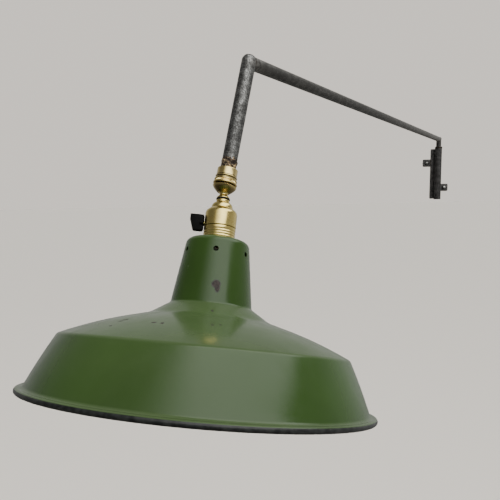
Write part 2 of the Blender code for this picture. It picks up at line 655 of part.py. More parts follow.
def ball_stem(head_frame):
    """Ball with its waisted stem, skirt and lower thread, bored for the flex."""
    neck_z = -math.sqrt(BALL_RADIUS**2 - (STEM_WAIST_RADIUS + STEM_FILLET) ** 2)
    waist_top = neck_z - STEM_WAIST_TOP
    waist_foot = waist_top - STEM_WAIST_LENGTH
    top_angle = math.degrees(math.acos(WIRE_BORE / BALL_RADIUS))
    neck_angle = math.degrees(math.asin(neck_z / BALL_RADIUS))
    outline = arc((0, 0), BALL_RADIUS, top_angle, neck_angle, 12)
    outline += [
        (STEM_WAIST_RADIUS, waist_top), (STEM_WAIST_RADIUS, waist_foot),
        (STEM_WAIST_RADIUS + STEM_SWELL, waist_foot - STEM_SWELL_DROP),
        (STEM_SKIRT_RADIUS - STEM_EDGE_ROUND, STEM_FOOT + STEM_EDGE + STEM_EDGE_ROUND),
        (STEM_SKIRT_RADIUS, STEM_FOOT + STEM_EDGE), (STEM_SKIRT_RADIUS, STEM_FOOT),
        (THREAD_RADIUS, STEM_FOOT), (THREAD_RADIUS, STEM_THREAD_FOOT), (WIRE_BORE, STEM_THREAD_FOOT),
    ]
    add("ball_stem", turned(outline, MEDIUM), "brass", head_frame)
    add(
        "stem_rubber_ring",
        tube(RUBBER_RADIUS, THREAD_BORE, RUBBER_TOP - RUBBER_THICKNESS, RUBBER_TOP, COARSE, RUBBER_CHAMFER),
        "rubber", head_frame,
    )
    add(
        "stem_collar_nut",
        tube(COLLAR_NUT_RADIUS, THREAD_BORE, NUT_TOP - COLLAR_NUT_HEIGHT, NUT_TOP, COARSE,
             COLLAR_NUT_CHAMFER),
        "brass", head_frame,
    )


def lampholder(head_frame):
    """Brass cap, body and skirt round the porcelain insert, contacts and switch block."""
    cap_foot = CAP_TOP - CAP_HEIGHT
    spigot_bore = CAP_SPIGOT_RADIUS - HOLDER_WALL
    spread = CAP_FOOT_RADIUS - CAP_TOP_RADIUS
    outline = [(THREAD_BORE, CAP_TOP)]
    for out, down in CAP_BULGE:
        outline.append((CAP_TOP_RADIUS + out * spread, CAP_TOP - down * CAP_HEIGHT))
    outline += [
        (CAP_SPIGOT_RADIUS, cap_foot), (CAP_SPIGOT_RADIUS, cap_foot - CAP_SPIGOT_LENGTH),
        (spigot_bore, cap_foot - CAP_SPIGOT_LENGTH), (spigot_bore, CAP_TOP - CAP_ROOF * CAP_HEIGHT),
        (THREAD_BORE, CAP_TOP - CAP_ROOF * CAP_HEIGHT),
    ]
    add("holder_cap", turned(outline, MEDIUM), "brass", head_frame)

    shoulder_foot = BODY_TOP - SHOULDER_HEIGHT
    outline = [
        (CAP_SPIGOT_RADIUS + GAP, BODY_TOP), (CAP_FOOT_RADIUS + SHOULDER_TOP_EDGE, BODY_TOP),
        *((HOLDER_RADIUS - inward, shoulder_foot + up) for inward, up in SHOULDER_BEND),
        (HOLDER_RADIUS, BODY_FOOT), (HOLDER_BORE, BODY_FOOT),
        (HOLDER_BORE, shoulder_foot - HOLDER_WALL), (CAP_FOOT_RADIUS, BODY_TOP - 2 * HOLDER_WALL),
        (CAP_SPIGOT_RADIUS + GAP, BODY_TOP - 2 * HOLDER_WALL),
    ]
    body = add("holder_body", turned(outline, MEDIUM), "brass", head_frame)
    spindle_way = add(
        "holder_spindle_hole", rod(SPINDLE_RADIUS + GAP, HOLDER_RADIUS / 2, 2 * HOLDER_RADIUS), None,
        head_frame, (0, 0, SWITCH_AXIS_Z), turned_about("Y", -90),
    )
    cut(body, spindle_way)

    step = SKIRT_TOP - SKIRT_STEP_HEIGHT
    skirt_foot = SKIRT_TOP - SKIRT_LENGTH
    skirt_bore = INSULATOR_RADIUS + GAP
    outline = [
        (skirt_bore, SKIRT_TOP), (HOLDER_RADIUS - SKIRT_CHAMFER, SKIRT_TOP),
        (HOLDER_RADIUS, SKIRT_TOP - SKIRT_CHAMFER),
        (HOLDER_RADIUS, step), (SKIRT_THREAD_RADIUS, step), (SKIRT_THREAD_RADIUS, skirt_foot),
        (skirt_bore, skirt_foot),
    ]
    add("holder_skirt", turned(outline, MEDIUM), "brass", head_frame)
    add(
        "shade_ring",
        tube(SHADE_HOLE_RADIUS + SHADE_RING_WIDTH, SHADE_HOLE_RADIUS,
             SHADE_RING_TOP - SHADE_RING_HEIGHT, SHADE_RING_TOP, MEDIUM, SHADE_RING_CHAMFER),
        "brass", head_frame,
    )

    insulator_foot = INSULATOR_TOP - INSULATOR_LENGTH
    outline = [
        (CONTACT_STEM_RADIUS + GAP, INSULATOR_TOP), (INSULATOR_RADIUS, INSULATOR_TOP),
        (INSULATOR_RADIUS, insulator_foot), (INSULATOR_BORE, insulator_foot),
        (INSULATOR_BORE, INSULATOR_INSIDE), (CONTACT_STEM_RADIUS + GAP, INSULATOR_INSIDE),
    ]
    add("holder_insulator", turned(outline, MEDIUM), "porcelain", head_frame)
    add(
        "holder_screw_shell",
        tube(SHELL_RADIUS, SHELL_RADIUS - SHELL_WALL, insulator_foot + GAP, INSULATOR_INSIDE - GAP),
        "brass", head_frame,
    )
    contact_foot = CONTACT_TOP - CONTACT_THICKNESS
    add(
        "centre_contact",
        turned(
            [(0, contact_foot), (CONTACT_RADIUS, contact_foot), (CONTACT_RADIUS, CONTACT_TOP),
             (CONTACT_STEM_RADIUS, CONTACT_TOP), (CONTACT_STEM_RADIUS, INSULATOR_TOP), (0, INSULATOR_TOP)],
            COARSE,
        ),
        "brass", head_frame,
    )


def switch_inside(head_frame):
    """Switch block with its bore for the cam, and the two terminals on top of it."""
    block_made = add(
        "switch_block", rod(SWITCH_BLOCK_RADIUS, BLOCK_FOOT, BLOCK_TOP, MEDIUM), "bakelite", head_frame
    )
    bore = add(
        "switch_block_bore", rod(SWITCH_BORE_RADIUS, SWITCH_BORE_END, 2 * SWITCH_BLOCK_RADIUS), None,
        head_frame, (0, 0, SWITCH_AXIS_Z), turned_about("Y", -90),
    )
    cut(block_made, bore)
    for label, side in (("live", 1), ("neutral", -1)):
        centre = (0, side * TERMINAL_OFFSET, BLOCK_TOP + GAP + TERMINAL_SIZE[2] / 2)
        terminal = add(f"{label}_terminal", block(TERMINAL_SIZE), "brass", head_frame, centre)
        head_side = side * (TERMINAL_SIZE[1] / 2 + GAP)
        screw = add(
            f"{label}_terminal_screw",
            rod(TERMINAL_SCREW_RADIUS, 0, TERMINAL_SCREW_HEAD, COARSE), "zinc", head_frame,
            (centre[0], centre[1] + head_side, centre[2]), turned_about("X", -90 * side),
        )
        eased(terminal, TERMINAL_EASE, 1)
        eased(screw, TERMINAL_SCREW_EASE, 1)


def bulb(head_frame):
    """Screw-cap bulb."""
    add(
        "bulb_contact",
        turned(
            [(0, BULB_CAP_TOP + GAP), (CONTACT_RADIUS, BULB_CAP_TOP + GAP),
             (BULB_TIP_SHARE * CONTACT_RADIUS, BULB_TOP),
             (0, BULB_TOP)],
            COARSE,
        ),
        "zinc", head_frame,
    )
    cap_foot = BULB_CAP_TOP - BULB_CAP_LENGTH
    cap_bore = BULB_CAP_RADIUS - BULB_CAP_WALL
    slope_foot = BULB_CAP_TOP - BULB_CAP_SLOPE
    tip = BULB_TIP_SHARE * BULB_CAP_RADIUS
    add(
        "bulb_screw_cap",
        turned(
            [(0, BULB_CAP_TOP), (tip, BULB_CAP_TOP), (BULB_CAP_RADIUS, slope_foot),
             (BULB_CAP_RADIUS, cap_foot), (cap_bore, cap_foot), (cap_bore, slope_foot - BULB_CAP_WALL),
             (tip, BULB_CAP_TOP - 2 * BULB_CAP_WALL), (0, BULB_CAP_TOP - 2 * BULB_CAP_WALL)],
            MEDIUM,
        ),
        "zinc", head_frame,
    )
    globe_z = BULB_GLASS_TOP - BULB_LENGTH + BULB_RADIUS
    neck = BULB_CAP_RADIUS - BULB_NECK_STEP
    throat = neck + BULB_NECK_SPREAD
    throat_z = BULB_GLASS_TOP - BULB_NECK_LENGTH
    outside = [(neck, BULB_GLASS_TOP), (throat, throat_z)]
    outside += arc((0, globe_z), BULB_RADIUS, BULB_NECK_ANGLE, -90, 10)[:-1] + [(0, globe_z - BULB_RADIUS)]
    inside = arc((0, globe_z), BULB_RADIUS - GLASS_WALL, -90, BULB_NECK_ANGLE, 10)[1:]
    inside += [(throat - GLASS_WALL, throat_z), (neck - GLASS_WALL, BULB_GLASS_TOP)]
    inside.insert(0, (0, globe_z - BULB_RADIUS + GLASS_WALL))
    add("bulb_globe", turned(inside + outside, MEDIUM), "opal_glass", head_frame)


def offset_outline(points, wall):
    """The outline's other side, a wall's thickness to its right-hand side."""
    moved = []
    for index, (r, z) in enumerate(points):
        before = points[max(index - 1, 0)]
        after = points[min(index + 1, len(points) - 1)]
        along = Vector((after[0] - before[0], after[1] - before[1])).normalized()
        moved.append((r + along.y * wall, z - along.x * wall))
    return moved


def shade_outline():
    """Outer line of the shade from its top hole down to the turned-out lip."""
    neck_foot = SHADE_TOP - NECK_DEPTH
    flare_foot = neck_foot - FLARE_DEPTH
    shoulder = flare_foot - CONE_DEPTH
    skirt_foot = shoulder - SKIRT_DEPTH
    shoulder_radius = SHADE_RIM_RADIUS - SHOULDER_INSET
    skirt_radius = SHADE_RIM_RADIUS - LIP_WIDTH
    line = [(SHADE_HOLE_RADIUS, SHADE_TOP)]
    taper = math.degrees(math.atan2(NECK_BASE_RADIUS - NECK_TOP_RADIUS, NECK_DEPTH))
    line += arc((NECK_TOP_RADIUS - NECK_ROUND, SHADE_TOP - NECK_ROUND), NECK_ROUND, 90, taper, 5)
    line.append((NECK_BASE_RADIUS, neck_foot))
    line.append((FLARE_RADIUS, flare_foot))
    cone_steps = 5
    for step in range(1, cone_steps):
        share = step / cone_steps
        line.append((
            FLARE_RADIUS + share * (shoulder_radius - FLARE_RADIUS),
            flare_foot - share * CONE_DEPTH + 4 * CONE_CROWN * share * (1 - share),
        ))
    cone_fall = math.degrees(math.atan2(CONE_DEPTH + 4 * CONE_CROWN, shoulder_radius - FLARE_RADIUS))
    skirt_lean = math.degrees(math.atan2(skirt_radius - shoulder_radius, SKIRT_DEPTH))
    start = 90 - cone_fall
    centre = (
        shoulder_radius - SHOULDER_ROUND * math.cos(math.radians(start)),
        shoulder - SHOULDER_ROUND * math.sin(math.radians(start)),
    )
    line += arc(centre, SHOULDER_ROUND, start, skirt_lean, 5)
    line.append((skirt_radius, skirt_foot))
    return line


def shade(head_frame):
    """Pressed and enamelled shade with a rolled rim, and vent holes round its neck."""
    line = shade_outline()
    rim_z = line[-1][1] - LIP_DEPTH
    bead = (SHADE_RIM_RADIUS - RIM_BEAD_RADIUS, rim_z)
    foot_r, foot_z = line[-1]
    outer = line[1:] + [(foot_r + LIP_TURN[0], foot_z - LIP_TURN[1])]
    outer += arc(bead, RIM_BEAD_RADIUS, 110, -180, 8)
    inner = offset_outline(line + [(foot_r + LIP_UNDER[0], foot_z - LIP_UNDER[1])], SHADE_WALL)[1:-1]
    hole_edge = [(SHADE_HOLE_RADIUS, SHADE_TOP - SHADE_WALL), (SHADE_HOLE_RADIUS, SHADE_TOP)]
    made = add(
        "shade_shell", turned(outer + inner[::-1] + hole_edge, FINE), "green_enamel", head_frame
    )
    for index in range(VENT_COUNT // 2):
        heading = 90 + index * 360 / VENT_COUNT
        vent = add(
            f"vent_drill_{index + 1}", rod(VENT_RADIUS, -2 * NECK_TOP_RADIUS, 2 * NECK_TOP_RADIUS, 16),
            None, head_frame, (0, 0, SHADE_TOP - VENT_DROP),
            turned_about("Z", heading) @ turned_about("Y", 90),
        )
        cut(made, vent)


def switch_key(knob_frame):
    """Cam, spindle and paddle key of the turn switch. Local +Z comes out of the lampholder."""
    cam_end = SWITCH_BLOCK_RADIUS - CAM_SHORT
    add(
        "switch_cam", rod(SWITCH_BORE_RADIUS - GAP, SWITCH_BORE_END + GAP, cam_end), "bakelite", knob_frame
    )
    face = HOLDER_RADIUS + KNOB_STANDOFF
    add(
        "switch_spindle", rod(SPINDLE_RADIUS, cam_end + GAP, face + KNOB_SOCKET_DEPTH), "brass", knob_frame
    )
    paddle = bmesh.new()
    corners = [
        paddle.verts.new((across * KNOB_HEIGHT / 2, -KNOB_THICKNESS / 2, face + out * KNOB_REACH))
        for across, out in KNOB_OUTLINE
    ]
    side = paddle.faces.new(corners)
    grown = bmesh.ops.extrude_face_region(paddle, geom=[side])
    moved = [item for item in grown["geom"] if isinstance(item, bmesh.types.BMVert)]
    bmesh.ops.translate(paddle, vec=(0, KNOB_THICKNESS, 0), verts=moved)
    bmesh.ops.recalc_face_normals(paddle, faces=paddle.faces)
    knob = add("switch_knob", paddle, "bakelite", knob_frame)
    hub = add(
        "switch_knob_hub",
        rod(KNOB_HUB_RADIUS, face - KNOB_HUB_BACK, face - KNOB_HUB_BACK + KNOB_HUB_LENGTH), None, knob_frame
    )
    cutter(hub)
    join = knob.modifiers.new("hub", "BOOLEAN")
    join.operation = "UNION"
    join.object = hub
    socket = add(
        "switch_knob_socket",
        rod(SPINDLE_RADIUS + GAP, face - 3 * KNOB_HUB_BACK, face + KNOB_SOCKET_DEPTH + GAP), None, knob_frame
    )
    cut(knob, socket)


def build():
    clear_scene()
    wall = frame("wall_face")
    pivot_frame = frame("pivot_axis", wall, (PIVOT_SIDE, -PIVOT_STANDOFF, ARM_HEIGHT))
    arm_frame = frame("arm_axis", pivot_frame, turn=turned_about("Z", 270 - ARM_SWING))
    drop_frame = frame("drop_axis", arm_frame, (ARM_LENGTH, 0, 0), turned_about("Y", -DROP_LEAN))
    joint_frame = frame("ball_centre", drop_frame, (0, 0, -DROP_LENGTH))
    leaning = (
        turned_about("Z", HEAD_TILT_HEADING) @ turned_about("Y", HEAD_TILT)
        @ turned_about("Z", HEAD_TURN - HEAD_TILT_HEADING)
    )
    head_frame = frame("lamp_axis", joint_frame, turn=leaning)
    knob_frame = frame("switch_axis", head_frame, (0, 0, SWITCH_AXIS_Z), turned_about("Y", -90))
    bracket(wall)
    pivot(pivot_frame)
    arm(arm_frame)
    drop(drop_frame, arm_frame)
    ball_joint(joint_frame)
    ball_seat(joint_frame)
    ball_stem(head_frame)
    lampholder(head_frame)
    switch_inside(head_frame)
    bulb(head_frame)
    shade(head_frame)
    switch_key(knob_frame)


build()
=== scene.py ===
"""Looks for the wall-mounted swing-arm lamp: blackened steel arm, turned brass, green enamel shade.

Every piece is built in its own frame (arm, drop tube or lamp head) and its mesh is then carried
to its place, so that every object sits at the origin.
"""

import json
import math

import bmesh
import bpy
from mathutils import Euler, Matrix, Vector
from mathutils import noise as noise_field


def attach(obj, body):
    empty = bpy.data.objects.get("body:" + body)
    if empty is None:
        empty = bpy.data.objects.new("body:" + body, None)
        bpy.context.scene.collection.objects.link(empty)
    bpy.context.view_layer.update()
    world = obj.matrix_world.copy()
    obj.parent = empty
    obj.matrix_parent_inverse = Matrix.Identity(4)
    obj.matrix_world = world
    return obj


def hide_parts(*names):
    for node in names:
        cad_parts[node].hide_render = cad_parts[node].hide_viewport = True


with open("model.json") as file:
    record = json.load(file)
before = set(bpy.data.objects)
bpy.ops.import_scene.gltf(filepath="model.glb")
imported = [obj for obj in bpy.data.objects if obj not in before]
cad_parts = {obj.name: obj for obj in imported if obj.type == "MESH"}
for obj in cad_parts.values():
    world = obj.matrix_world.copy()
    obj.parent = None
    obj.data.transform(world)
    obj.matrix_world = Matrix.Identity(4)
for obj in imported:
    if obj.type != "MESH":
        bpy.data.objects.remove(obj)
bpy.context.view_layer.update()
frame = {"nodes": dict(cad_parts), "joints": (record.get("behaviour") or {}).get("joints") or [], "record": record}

MM = 0.001
GAP = 0.3 * MM

# ---- bracket ----
PLATE_WIDTH = 40 * MM
PLATE_HEIGHT = 190 * MM
PLATE_THICKNESS = 5 * MM
LUG_WIDTH = 29 * MM
LUG_HEIGHT = 28 * MM
UPPER_LUG_Z = 42 * MM
LOWER_LUG_Z = -52 * MM
LUG_HOLE_RADIUS = 3.2 * MM
SCREW_WASHER_BORE = 2.7 * MM
SCREW_WASHER_RADIUS = 7.5 * MM
SCREW_WASHER_THICKNESS = 1.2 * MM
SCREW_HEAD_RADIUS = 5.6 * MM
SCREW_HEAD_HEIGHT = 3.4 * MM
SCREW_SLOT_WIDTH = 1.3 * MM
SCREW_SLOT_DEPTH = 1.4 * MM
SCREW_SHANK_RADIUS = 2.4 * MM
SCREW_SHANK_LENGTH = 44 * MM
SOCKET_RADIUS = 12.7 * MM
SOCKET_WALL = 1.6 * MM
SOCKET_OVERHANG = 2 * MM
PIVOT_WASHER_BORE = 9.3 * MM
PIVOT_WASHER_RADIUS = 14 * MM
PIVOT_WASHER_THICKNESS = 2 * MM
COLLAR_RADIUS = 12.4 * MM
COLLAR_HEIGHT = 3.4 * MM

# ---- arm and drop tube ----
ARM_RADIUS = 9 * MM
DROP_RADIUS = 10 * MM
TUBE_WALL = 1.6 * MM
DOME_FOOT = 1.5 * MM
DOME_HEIGHT = 8.6 * MM
DOME_FULLNESS = 2.3
BRAZE_RUN = 4.4 * MM

# ---- ball joint, heights from the ball centre ----
BALL_RADIUS = 9.8 * MM
THREAD_BORE = 5.1 * MM
THREAD_RADIUS = 4.8 * MM
WIRE_BORE = 3 * MM
CUP_RADIUS = 13.3 * MM
CUP_BORE = 11.2 * MM
CUP_HEIGHT = 24.8 * MM
CUP_CEILING = 13.2 * MM
CUP_BEAD_Z = 13.6 * MM
CUP_THREAD_RADIUS = 12.9 * MM
LOCK_RING_RADIUS = 14.9 * MM
LOCK_RING_FOOT = 3.0 * MM
LOCK_RING_TOP = 9.8 * MM
JOINT_CAP_RADIUS = 15.5 * MM
JOINT_CAP_TOP = 2.4 * MM
JOINT_CAP_FOOT = -7.6 * MM
JOINT_MOUTH_RADIUS = 7.2 * MM
DOME_SLACK = 1.35
BUSH_FACE_LENGTH = 10 * MM
STEM_WAIST_RADIUS = 5.2 * MM
STEM_SKIRT_RADIUS = 8.2 * MM
STEM_FOOT = -15 * MM
STEM_END = -31 * MM  # foot of the thread

# ---- lampholder, heights from the ball centre ----
RUBBER_RADIUS = 8.9 * MM
RUBBER_TOP = -15.3 * MM
RUBBER_FOOT = -17.3 * MM
NUT_RADIUS = 8.3 * MM
NUT_FOOT = -20.6 * MM
CAP_TOP = -20.9 * MM
CAP_FOOT = -28.6 * MM
CAP_TOP_RADIUS = 8.5 * MM
CAP_FOOT_RADIUS = 13.6 * MM
CAP_SPIGOT_RADIUS = 10.7 * MM
CAP_SPIGOT_BORE = 9.5 * MM
CAP_SPIGOT_LENGTH = 3.5 * MM
HOLDER_RADIUS = 20.1 * MM
HOLDER_WALL = 1.2 * MM
BODY_TOP = -28.9 * MM
BODY_MOUTH = 11 * MM
BODY_FOOT = -53.7 * MM
SHOULDER_HEIGHT = 5.5 * MM
SKIRT_TOP = -54.3 * MM
SKIRT_STEP = -71.3 * MM
SKIRT_FOOT = -84.0 * MM
SKIRT_THREAD_RADIUS = 19.5 * MM
SKIRT_BORE = 17.9 * MM
KNOB_HEIGHT = 22 * MM
KNOB_REACH = 16.8 * MM
KNOB_THICKNESS = 6.5 * MM
KNOB_FACE = 21.7 * MM

# ---- bulb ----
BULB_CAP_TOP = -66.5 * MM
BULB_GLASS_TOP = -90.8 * MM
BULB_CAP_RADIUS = 13 * MM
BULB_RADIUS = 30 * MM
BULB_LENGTH = 78 * MM

# ---- shade ----
SHADE_TOP = -71.6 * MM
SHADE_WALL = 0.9 * MM
SHADE_HOLE_RADIUS = 19.8 * MM
SHADE_RING_RADIUS = 24 * MM
SHADE_RING_HEIGHT = 4 * MM
RIM_RADIUS = 200 * MM
RIM_BEAD_RADIUS = 3.2 * MM
LIP_WIDTH = 8 * MM
LIP_DEPTH = 4.5 * MM
SHOULDER_RADIUS = 166 * MM
SHOULDER_ROUND = 7 * MM
FLARE_RADIUS = 74 * MM
NECK_BASE = 49.3 * MM
NECK_TOP = 39.7 * MM
NECK_ROUND = 8 * MM
NECK_DEPTH = 81.5 * MM
FLARE_DEPTH = 16 * MM
CONE_DEPTH = 32 * MM
SKIRT_DEPTH = 57 * MM
CONE_CROWN = 3 * MM
VENT_COUNT = 6
VENT_RADIUS = 3.1 * MM
VENT_DROP = 17.6 * MM

# ---- studio ----
BACKDROP = (0.93, 0.87, 0.79)
SKY_GLOW = 2.9
FLOOR_Z = -1.6
LIGHT_TARGET = (-0.76, -1.3, -0.2)
CAMERA_LENS = 34.56
SENSOR_WIDTH = 36
CAMERA_X = -0.7243
CAMERA_Y = -1.8868
CAMERA_DROP = 0.45 * MM  # below the ball centre
CAMERA_TURNS = (82.567, 1.081, -0.141)  # degrees about X, Y and Z

ROUND_SIDES = 96
SHADE_SIDES = 224


# ---------------------------------------------------------------- frames


def axes(origin, x_axis, z_axis):
    """The matrix that carries a frame with these axes to its place."""
    z_axis = z_axis.normalized()
    y_axis = z_axis.cross(x_axis).normalized()
    x_axis = y_axis.cross(z_axis)
    turned = Matrix((x_axis, y_axis, z_axis)).transposed().to_4x4()
    return Matrix.Translation(origin) @ turned


def joint(name):
    return next(made for made in frame["joints"] if made["name"] == name)


pivot_place = Vector(joint("arm_swing")["pos_m"])
ball_place = Vector(joint("ball_swivel")["pos_m"])
drop_axis = Vector(joint("ball_swivel")["axis"]).normalized()
switch_place = Vector(joint("switch_turn")["pos_m"])
switch_axis = Vector(joint("switch_turn")["axis"]).normalized()

arm_heading = ball_place - pivot_place
arm_heading.z = 0
arm_heading.normalize()
DROP_LENGTH = (pivot_place.z - ball_place.z) / drop_axis.z
elbow_place = ball_place + drop_axis * DROP_LENGTH
ARM_LENGTH = (elbow_place - pivot_place).length
drop_side = Vector((0, 0, 1)).cross(arm_heading)

PIVOT = axes(pivot_place, arm_heading, Vector((0, 0, 1)))
ARM = axes(pivot_place, Vector((0, 0, -1)), arm_heading)
DROP = axes(ball_place, drop_side.cross(drop_axis), drop_axis)
LAMP = axes(ball_place, -switch_axis, ball_place - switch_place)
SWITCH = axes(switch_place, ball_place - switch_place, switch_axis)
WALL = Matrix.Identity(4)
SOCKET_TOP = PLATE_HEIGHT / 2 + SOCKET_OVERHANG - pivot_place.z
SOCKET_FOOT = SOCKET_TOP - PLATE_HEIGHT - 2 * SOCKET_OVERHANG


# ---------------------------------------------------------------- shader helpers


def put(tree, kind, feeds=None, **settings):
    """Adds a node, sets it up and wires or sets its inputs."""
    made = tree.nodes.new(kind)
    for label, value in settings.items():
        setattr(made, label, value)
    for label, value in (feeds or {}).items():
        socket = made.inputs[label]
        if isinstance(value, bpy.types.NodeSocket):
            tree.links.new(value, socket)
        else:
            socket.default_value = value
    return made


def maths(tree, operation, first, second=0.0, third=0.0):
    return put(tree, "ShaderNodeMath", {0: first, 1: second, 2: third}, operation=operation).outputs[0]


def blended(tree, share, first, second):
    mix = put(tree, "ShaderNodeMix", {0: share, 6: first, 7: second}, data_type="RGBA")
    return mix.outputs[2]


def stepped(tree, value, low, high, out_low=0.0, out_high=1.0):
    """Maps a value from one span to another with soft ends."""
    return put(
        tree, "ShaderNodeMapRange", {0: value, 1: low, 2: high, 3: out_low, 4: out_high},
        interpolation_type="SMOOTHSTEP",
    ).outputs[0]


def noise(tree, place, scale, detail=3.0, roughness=0.5, stretch=(1, 1, 1)):
    if stretch != (1, 1, 1):
        place = put(tree, "ShaderNodeVectorMath", {0: place, 1: stretch}, operation="MULTIPLY").outputs[0]
    feeds = {"Vector": place, "Scale": scale, "Detail": detail, "Roughness": roughness}
    return put(tree, "ShaderNodeTexNoise", feeds, noise_dimensions="3D").outputs["Fac"]


def shader_group(name, inputs, outputs):
    """An empty effect group with its sockets, and its input and output nodes."""
    tree = bpy.data.node_groups.new(name, "ShaderNodeTree")
    for label, kind, value in inputs:
        socket = tree.interface.new_socket(label, in_out="INPUT", socket_type=kind)
        if value is not None:
            socket.default_value = value
    for label, kind in outputs:
        tree.interface.new_socket(label, in_out="OUTPUT", socket_type=kind)
    return tree, tree.nodes.new("NodeGroupInput").outputs, tree.nodes.new("NodeGroupOutput").inputs


NUMBER, VECTOR = "NodeSocketFloat", "NodeSocketVector"


def mottle_group():
    """Two sizes of cloudy patches, pushed apart by the contrast."""
    tree, given, out = shader_group(
        "mottle",
        [("Place", VECTOR, None), ("Patch Scale", NUMBER, 60.0), ("Fleck Scale", NUMBER, 400.0),
         ("Low", NUMBER, 0.35), ("High", NUMBER, 0.65)],
        [("Patches", NUMBER), ("Flecks", NUMBER)],
    )
    patches = noise(tree, given["Place"], given["Patch Scale"], 4, 0.55)
    flecks = noise(tree, given["Place"], given["Fleck Scale"], 3, 0.6)
    for value, label in ((patches, "Patches"), (flecks, "Flecks")):
        tree.links.new(stepped(tree, value, given["Low"], given["High"]), out[label])
    return tree


def lathe_mark_group():
    """Fine rings round Z and faint handling smudges on turned metal."""
    tree, given, out = shader_group(
        "lathe marks",
        [("Place", VECTOR, None), ("Ring Scale", NUMBER, 900.0), ("Smudge Scale", NUMBER, 70.0)],
        [("Rings", NUMBER), ("Smudges", NUMBER), ("Streaks", NUMBER)],
    )
    rings = noise(tree, given["Place"], given["Ring Scale"], 2, 0.6, stretch=(0.03, 0.03, 1))
    streaks = noise(tree, given["Place"], given["Smudge Scale"], 3, 0.5, stretch=(1, 1, 0.15))
    smudges = noise(tree, given["Place"], given["Smudge Scale"], 4, 0.6)
    tree.links.new(rings, out["Rings"])
    tree.links.new(streaks, out["Streaks"])
    tree.links.new(stepped(tree, smudges, 0.42, 0.68), out["Smudges"])
    return tree


def edge_wear_group():
    """Where the metal shows on edges that hands and tools have rubbed."""
    tree, given, out = shader_group(
        "edge wear",
        [("Place", VECTOR, None), ("Break Scale", NUMBER, 200.0), ("Amount", NUMBER, 0.5)],
        [("Wear", NUMBER)],
    )
    sharp = put(tree, "ShaderNodeNewGeometry").outputs["Pointiness"]
    edge = stepped(tree, sharp, 0.515, 0.60)
    broken = stepped(tree, noise(tree, given["Place"], given["Break Scale"], 3, 0.6), 0.38, 0.62)
    worn = maths(tree, "MULTIPLY", edge, broken)
    tree.links.new(maths(tree, "MULTIPLY", worn, given["Amount"]), out["Wear"])
    return tree


def chip_group():
    """A ragged oval round a point, for one chip in the enamel."""
    tree, given, out = shader_group(
        "enamel chip",
        [("Place", VECTOR, None), ("Centre", VECTOR, None), ("Size", VECTOR, (1, 1, 1)),
         ("Ragged", NUMBER, 0.5), ("Rim", NUMBER, 1.3)],
        [("Bare", NUMBER), ("Edge", NUMBER)],
    )
    away = put(tree, "ShaderNodeVectorMath", {0: given["Place"], 1: given["Centre"]}, operation="SUBTRACT")
    scaled = put(tree, "ShaderNodeVectorMath", {0: away.outputs[0], 1: given["Size"]}, operation="DIVIDE")
    reach = put(tree, "ShaderNodeVectorMath", {0: scaled.outputs[0]}, operation="LENGTH").outputs["Value"]
    rough = maths(tree, "SUBTRACT", noise(tree, given["Place"], 420.0, 3, 0.6), 0.5)
    ragged = maths(tree, "MULTIPLY_ADD", rough, given["Ragged"], reach)
    tree.links.new(stepped(tree, ragged, 1.0, 0.86), out["Bare"])
    tree.links.new(stepped(tree, ragged, given["Rim"], 1.0), out["Edge"])
    return tree


def dust_and_top_light_group():
    """Dust settled on what faces up; on the green enamel this paler colour on up-facing faces is painted top
    light.
    """
    tree, given, out = shader_group(
        "settled dust",
        [("Place", VECTOR, None), ("Dust Scale", NUMBER, 90.0), ("Amount", NUMBER, 0.2),
         ("Patchiness", NUMBER, 1.0), ("Least Slope", NUMBER, 0.35)],
        [("Dust", NUMBER)],
    )
    facing = put(tree, "ShaderNodeNewGeometry").outputs["Normal"]
    up = put(tree, "ShaderNodeSeparateXYZ", {0: facing}).outputs["Z"]
    lying = stepped(tree, up, given["Least Slope"], 0.98)
    cloudy = stepped(tree, noise(tree, given["Place"], given["Dust Scale"], 5, 0.65), 0.35, 0.75)
    even = maths(tree, "SUBTRACT", 1.0, given["Patchiness"])
    patchy = maths(tree, "MULTIPLY_ADD", cloudy, given["Patchiness"], even)
    tree.links.new(
        maths(tree, "MULTIPLY", maths(tree, "MULTIPLY", lying, patchy), given["Amount"]), out["Dust"]
    )
    return tree


MOTTLE = mottle_group()
LATHE_MARKS = lathe_mark_group()
EDGE_WEAR = edge_wear_group()
CHIP = chip_group()
DUST_AND_TOP_LIGHT = dust_and_top_light_group()


def effect(tree, group, **feeds):
    """Places a shared effect in a material with its own values."""
    placed = put(tree, "ShaderNodeGroup", node_tree=group)
    for label, value in feeds.items():
        socket = placed.inputs[label.replace("_", " ")]
        if isinstance(value, bpy.types.NodeSocket):
            tree.links.new(value, socket)
        else:
            socket.default_value = value
    return placed.outputs


def finish(name, place, colour=(0.5, 0.5, 0.5), **fixed):
    """A new material: its tree, its shader and the place in its own frame."""
    made = bpy.data.materials.new(name)
    made.use_nodes = True
    made.diffuse_color = (*colour, 1)
    tree = made.node_tree
    shader = tree.nodes["Principled BSDF"]
    shader.inputs["Base Color"].default_value = (*colour, 1)
    for label, value in fixed.items():
        shader.inputs[label.replace("_", " ")].default_value = value
    row = put(tree, "ShaderNodeTexCoord").outputs["Object"]
    spot = put(
        tree, "ShaderNodeMapping",
        {"Vector": row, "Location": place.to_translation(), "Rotation": place.to_euler()},
        vector_type="TEXTURE",
    ).outputs[0]
    return made, tree, shader.inputs, spot


def wired(made, tree, shader, colour, rough, height, strength, distance):
    """Ends a finish: its colour, its roughness and its fine relief."""
    tree.links.new(colour, shader["Base Color"])
    tree.links.new(rough, shader["Roughness"])
    bump = put(tree, "ShaderNodeBump", {"Height": height, "Strength": strength, "Distance": distance})
    tree.links.new(bump.outputs["Normal"], shader["Normal"])
    return made


# ---------------------------------------------------------------- outlines


